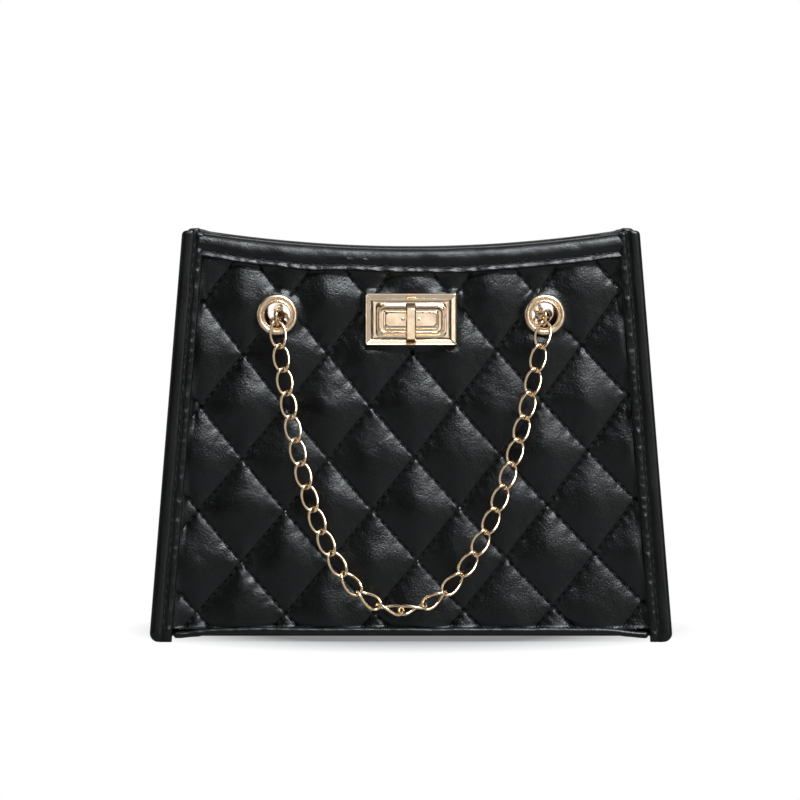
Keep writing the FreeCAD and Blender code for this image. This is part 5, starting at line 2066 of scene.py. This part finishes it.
# ---- studio ----
@dataclass
class Studio:
    """Pale floor, soft lamps and the camera.

    Attributes:
        frame_width: Width of the view at the bag's face, in millimetres.
        aim: The point in the middle of the view, in millimetres.
        distance: Camera to the bag's face, in millimetres.
        height: The camera's height above the floor, in millimetres.
        bag_middle: The point that the lamps face, in metres.
        floor_grey: The floor's brightness; near the bag, where it is seen directly, this grey is partly a
            painted shadow.
        dim: The world's brightness for all that isn't white.
    """

    frame_width: float = 360.0
    aim: tuple[float, float, float] = (-4.95, -31.0, 108.5)
    distance: float = 1500.0
    height: float = 225.0
    bag_middle: tuple[float, float, float] = (0.0, 0.0, 0.09)
    floor_grey: float = 0.28
    dim: float = 0.045

    def camera(self) -> None:
        """A long lens a little above the bag, pointed at the middle of the view."""
        back = Vector((0.0, -self.distance, self.height - self.aim[2]))
        data = bpy.data.cameras.new("camera")
        data.sensor_width = 36.0
        data.lens = data.sensor_width * back.length / self.frame_width
        data.clip_start, data.clip_end = 0.05, 50.0
        camera = bpy.data.objects.new("camera", data)
        bpy.context.scene.collection.objects.link(camera)
        camera.location = (Vector(self.aim) + back) * MM
        camera.rotation_mode = "QUATERNION"
        camera.rotation_quaternion = back.to_track_quat("Z", "Y")
        bpy.context.scene.camera = camera

    def softbox(self, name: str, place: tuple[float, float, float], size: tuple[float, float],
                power: float, tint: tuple[float, float, float] = (1, 1, 1)) -> None:
        """A rectangular lamp that faces the bag's middle.

        Args:
            name: Its name.
            place: Where it stands, in metres.
            size: Its width and height in metres.
            power: Watts.
            tint: Its colour.
        """
        data = bpy.data.lights.new(name, "AREA")
        data.shape = "RECTANGLE"
        data.size, data.size_y = size
        data.energy = power
        data.color = tint
        lamp = bpy.data.objects.new(name, data)
        lamp.location = place
        lamp.rotation_mode = "QUATERNION"
        lamp.rotation_quaternion = (Vector(self.bag_middle) - Vector(place)).to_track_quat("-Z", "Y")
        bpy.context.scene.collection.objects.link(lamp)

    def floor(self) -> None:
        """A round floor, which fades to plain white away from the bag where it is seen directly; near the bag
        its dark grey shows the real cast shadow and also a painted shadow.
        """
        rings, around = np.array([0.0005, 0.3, 0.8, 2.0, 6.0]), 64
        angle = np.linspace(0, math.tau, around, endpoint=False)
        points = np.stack([rings[:, None] * np.cos(angle), rings[:, None] * np.sin(angle),
                           np.zeros((len(rings), around))], -1)
        patch = grid(points, loop=True)
        patch.others = [list(range(around))]
        mesh = bpy.data.meshes.new("floor")
        mesh.from_pydata(patch.points.tolist(), [], [*patch.quads.tolist(), *patch.others])
        material, w, shader, position = start_material("pale_floor")
        shader.inputs["Base Color"].default_value = (*[self.floor_grey] * 3, 1)
        shader.inputs["Roughness"].default_value = 0.7
        output = material.node_tree.nodes["Material Output"]
        round_bag = w.node("ShaderNodeVectorMath", {0: position, 1: (1 / 150, 1 / 85, 0)},
                           operation="MULTIPLY")
        far = w.node("ShaderNodeVectorMath", {0: round_bag.outputs[0]}, operation="LENGTH").outputs["Value"]
        path = w.node("ShaderNodeLightPath").outputs["Is Camera Ray"]
        white = w.node("ShaderNodeEmission", {"Color": (1, 1, 1, 1), "Strength": 1.0})
        # Painted shadow: seen directly, the floor keeps its own dark grey near the bag and turns white
        # farther off.
        share = w.math("MULTIPLY", w.span(far, 0.5, 0.88, 0.25, 1.0), path)
        mix = w.node("ShaderNodeMixShader", {0: share, 1: shader.outputs[0], 2: white.outputs[0]})
        w.tree.links.new(mix.outputs[0], output.inputs["Surface"])
        mesh.materials.append(material)
        floor = bpy.data.objects.new("floor", mesh)
        bpy.context.scene.collection.objects.link(floor)

    def sky(self) -> None:
        """A plain world: white where it is seen directly or mirrored behind the bag, dim for all else."""
        world = bpy.data.worlds.new("studio")
        world.use_nodes = True
        bpy.context.scene.world = world
        w = Wiring(world.node_tree)
        path = w.node("ShaderNodeLightPath").outputs
        toward = w.node("ShaderNodeSeparateXYZ", {0: w.node("ShaderNodeTexCoord").outputs["Generated"]})
        mirrored = w.math("MAXIMUM", path["Is Glossy Ray"], path["Is Transmission Ray"])
        backdrop = w.math("MULTIPLY", mirrored, w.span(toward.outputs[1], 0.15, 0.5))
        seen = w.math("MAXIMUM", path["Is Camera Ray"], backdrop)
        tone = w.blend(seen, (*[self.dim] * 3, 1), (1, 1, 1, 1))
        world.node_tree.links.new(tone, world.node_tree.nodes["Background"].inputs["Color"])

    def build(self) -> None:
        """Sets up the whole studio."""
        bpy.context.scene.view_settings.view_transform = "Standard"
        self.camera()
        self.floor()
        self.sky()
        self.softbox("key_softbox", (0.42, -1.0, 1.3), (0.85, 0.65), 46.0, tint=(0.9, 0.96, 1.0))
        self.softbox("right_softbox", (1.25, -0.55, 0.35), (0.35, 0.7), 0.4)
        self.softbox("strip_softbox", (0.95, -1.3, 0.45), (0.25, 0.9), 2.6)
        self.softbox("top_softbox", (0.0, -0.4, 1.4), (1.3, 0.7), 3.2)
        self.softbox("left_softbox", (-1.2, -0.5, 0.5), (0.35, 0.8), 1.2)
        self.softbox("front_wall", (0.0, -2.1, 0.47), (0.64, 0.4), 0.87)


def main() -> None:
    """Builds the bag piece by piece, then the studio."""
    logging.basicConfig(level=logging.INFO, format="%(name)s %(message)s")
    palette = Palette.build()
    form = BagForm()
    fittings = Fittings.read(form)
    LOG.info("fittings %s", fittings)
    Studio().build()
    known = (form, fittings, palette)
    panels = []
    for face in Face:
        panels.append(QuiltedPanel(*known, face).add())
        for side in Side:
            EdgeBinding(*known, face, side).add()
            Eyelet(*known, face, side).add()
    for side in Side:
        Gusset(*known, side, panels).add()
    for maker in (BasePieces, TurnLock, ClosureTab, ChainStrap):
        maker(*known).add()
    dress_cad_metal(palette)


if __name__ == "__main__":
    main()
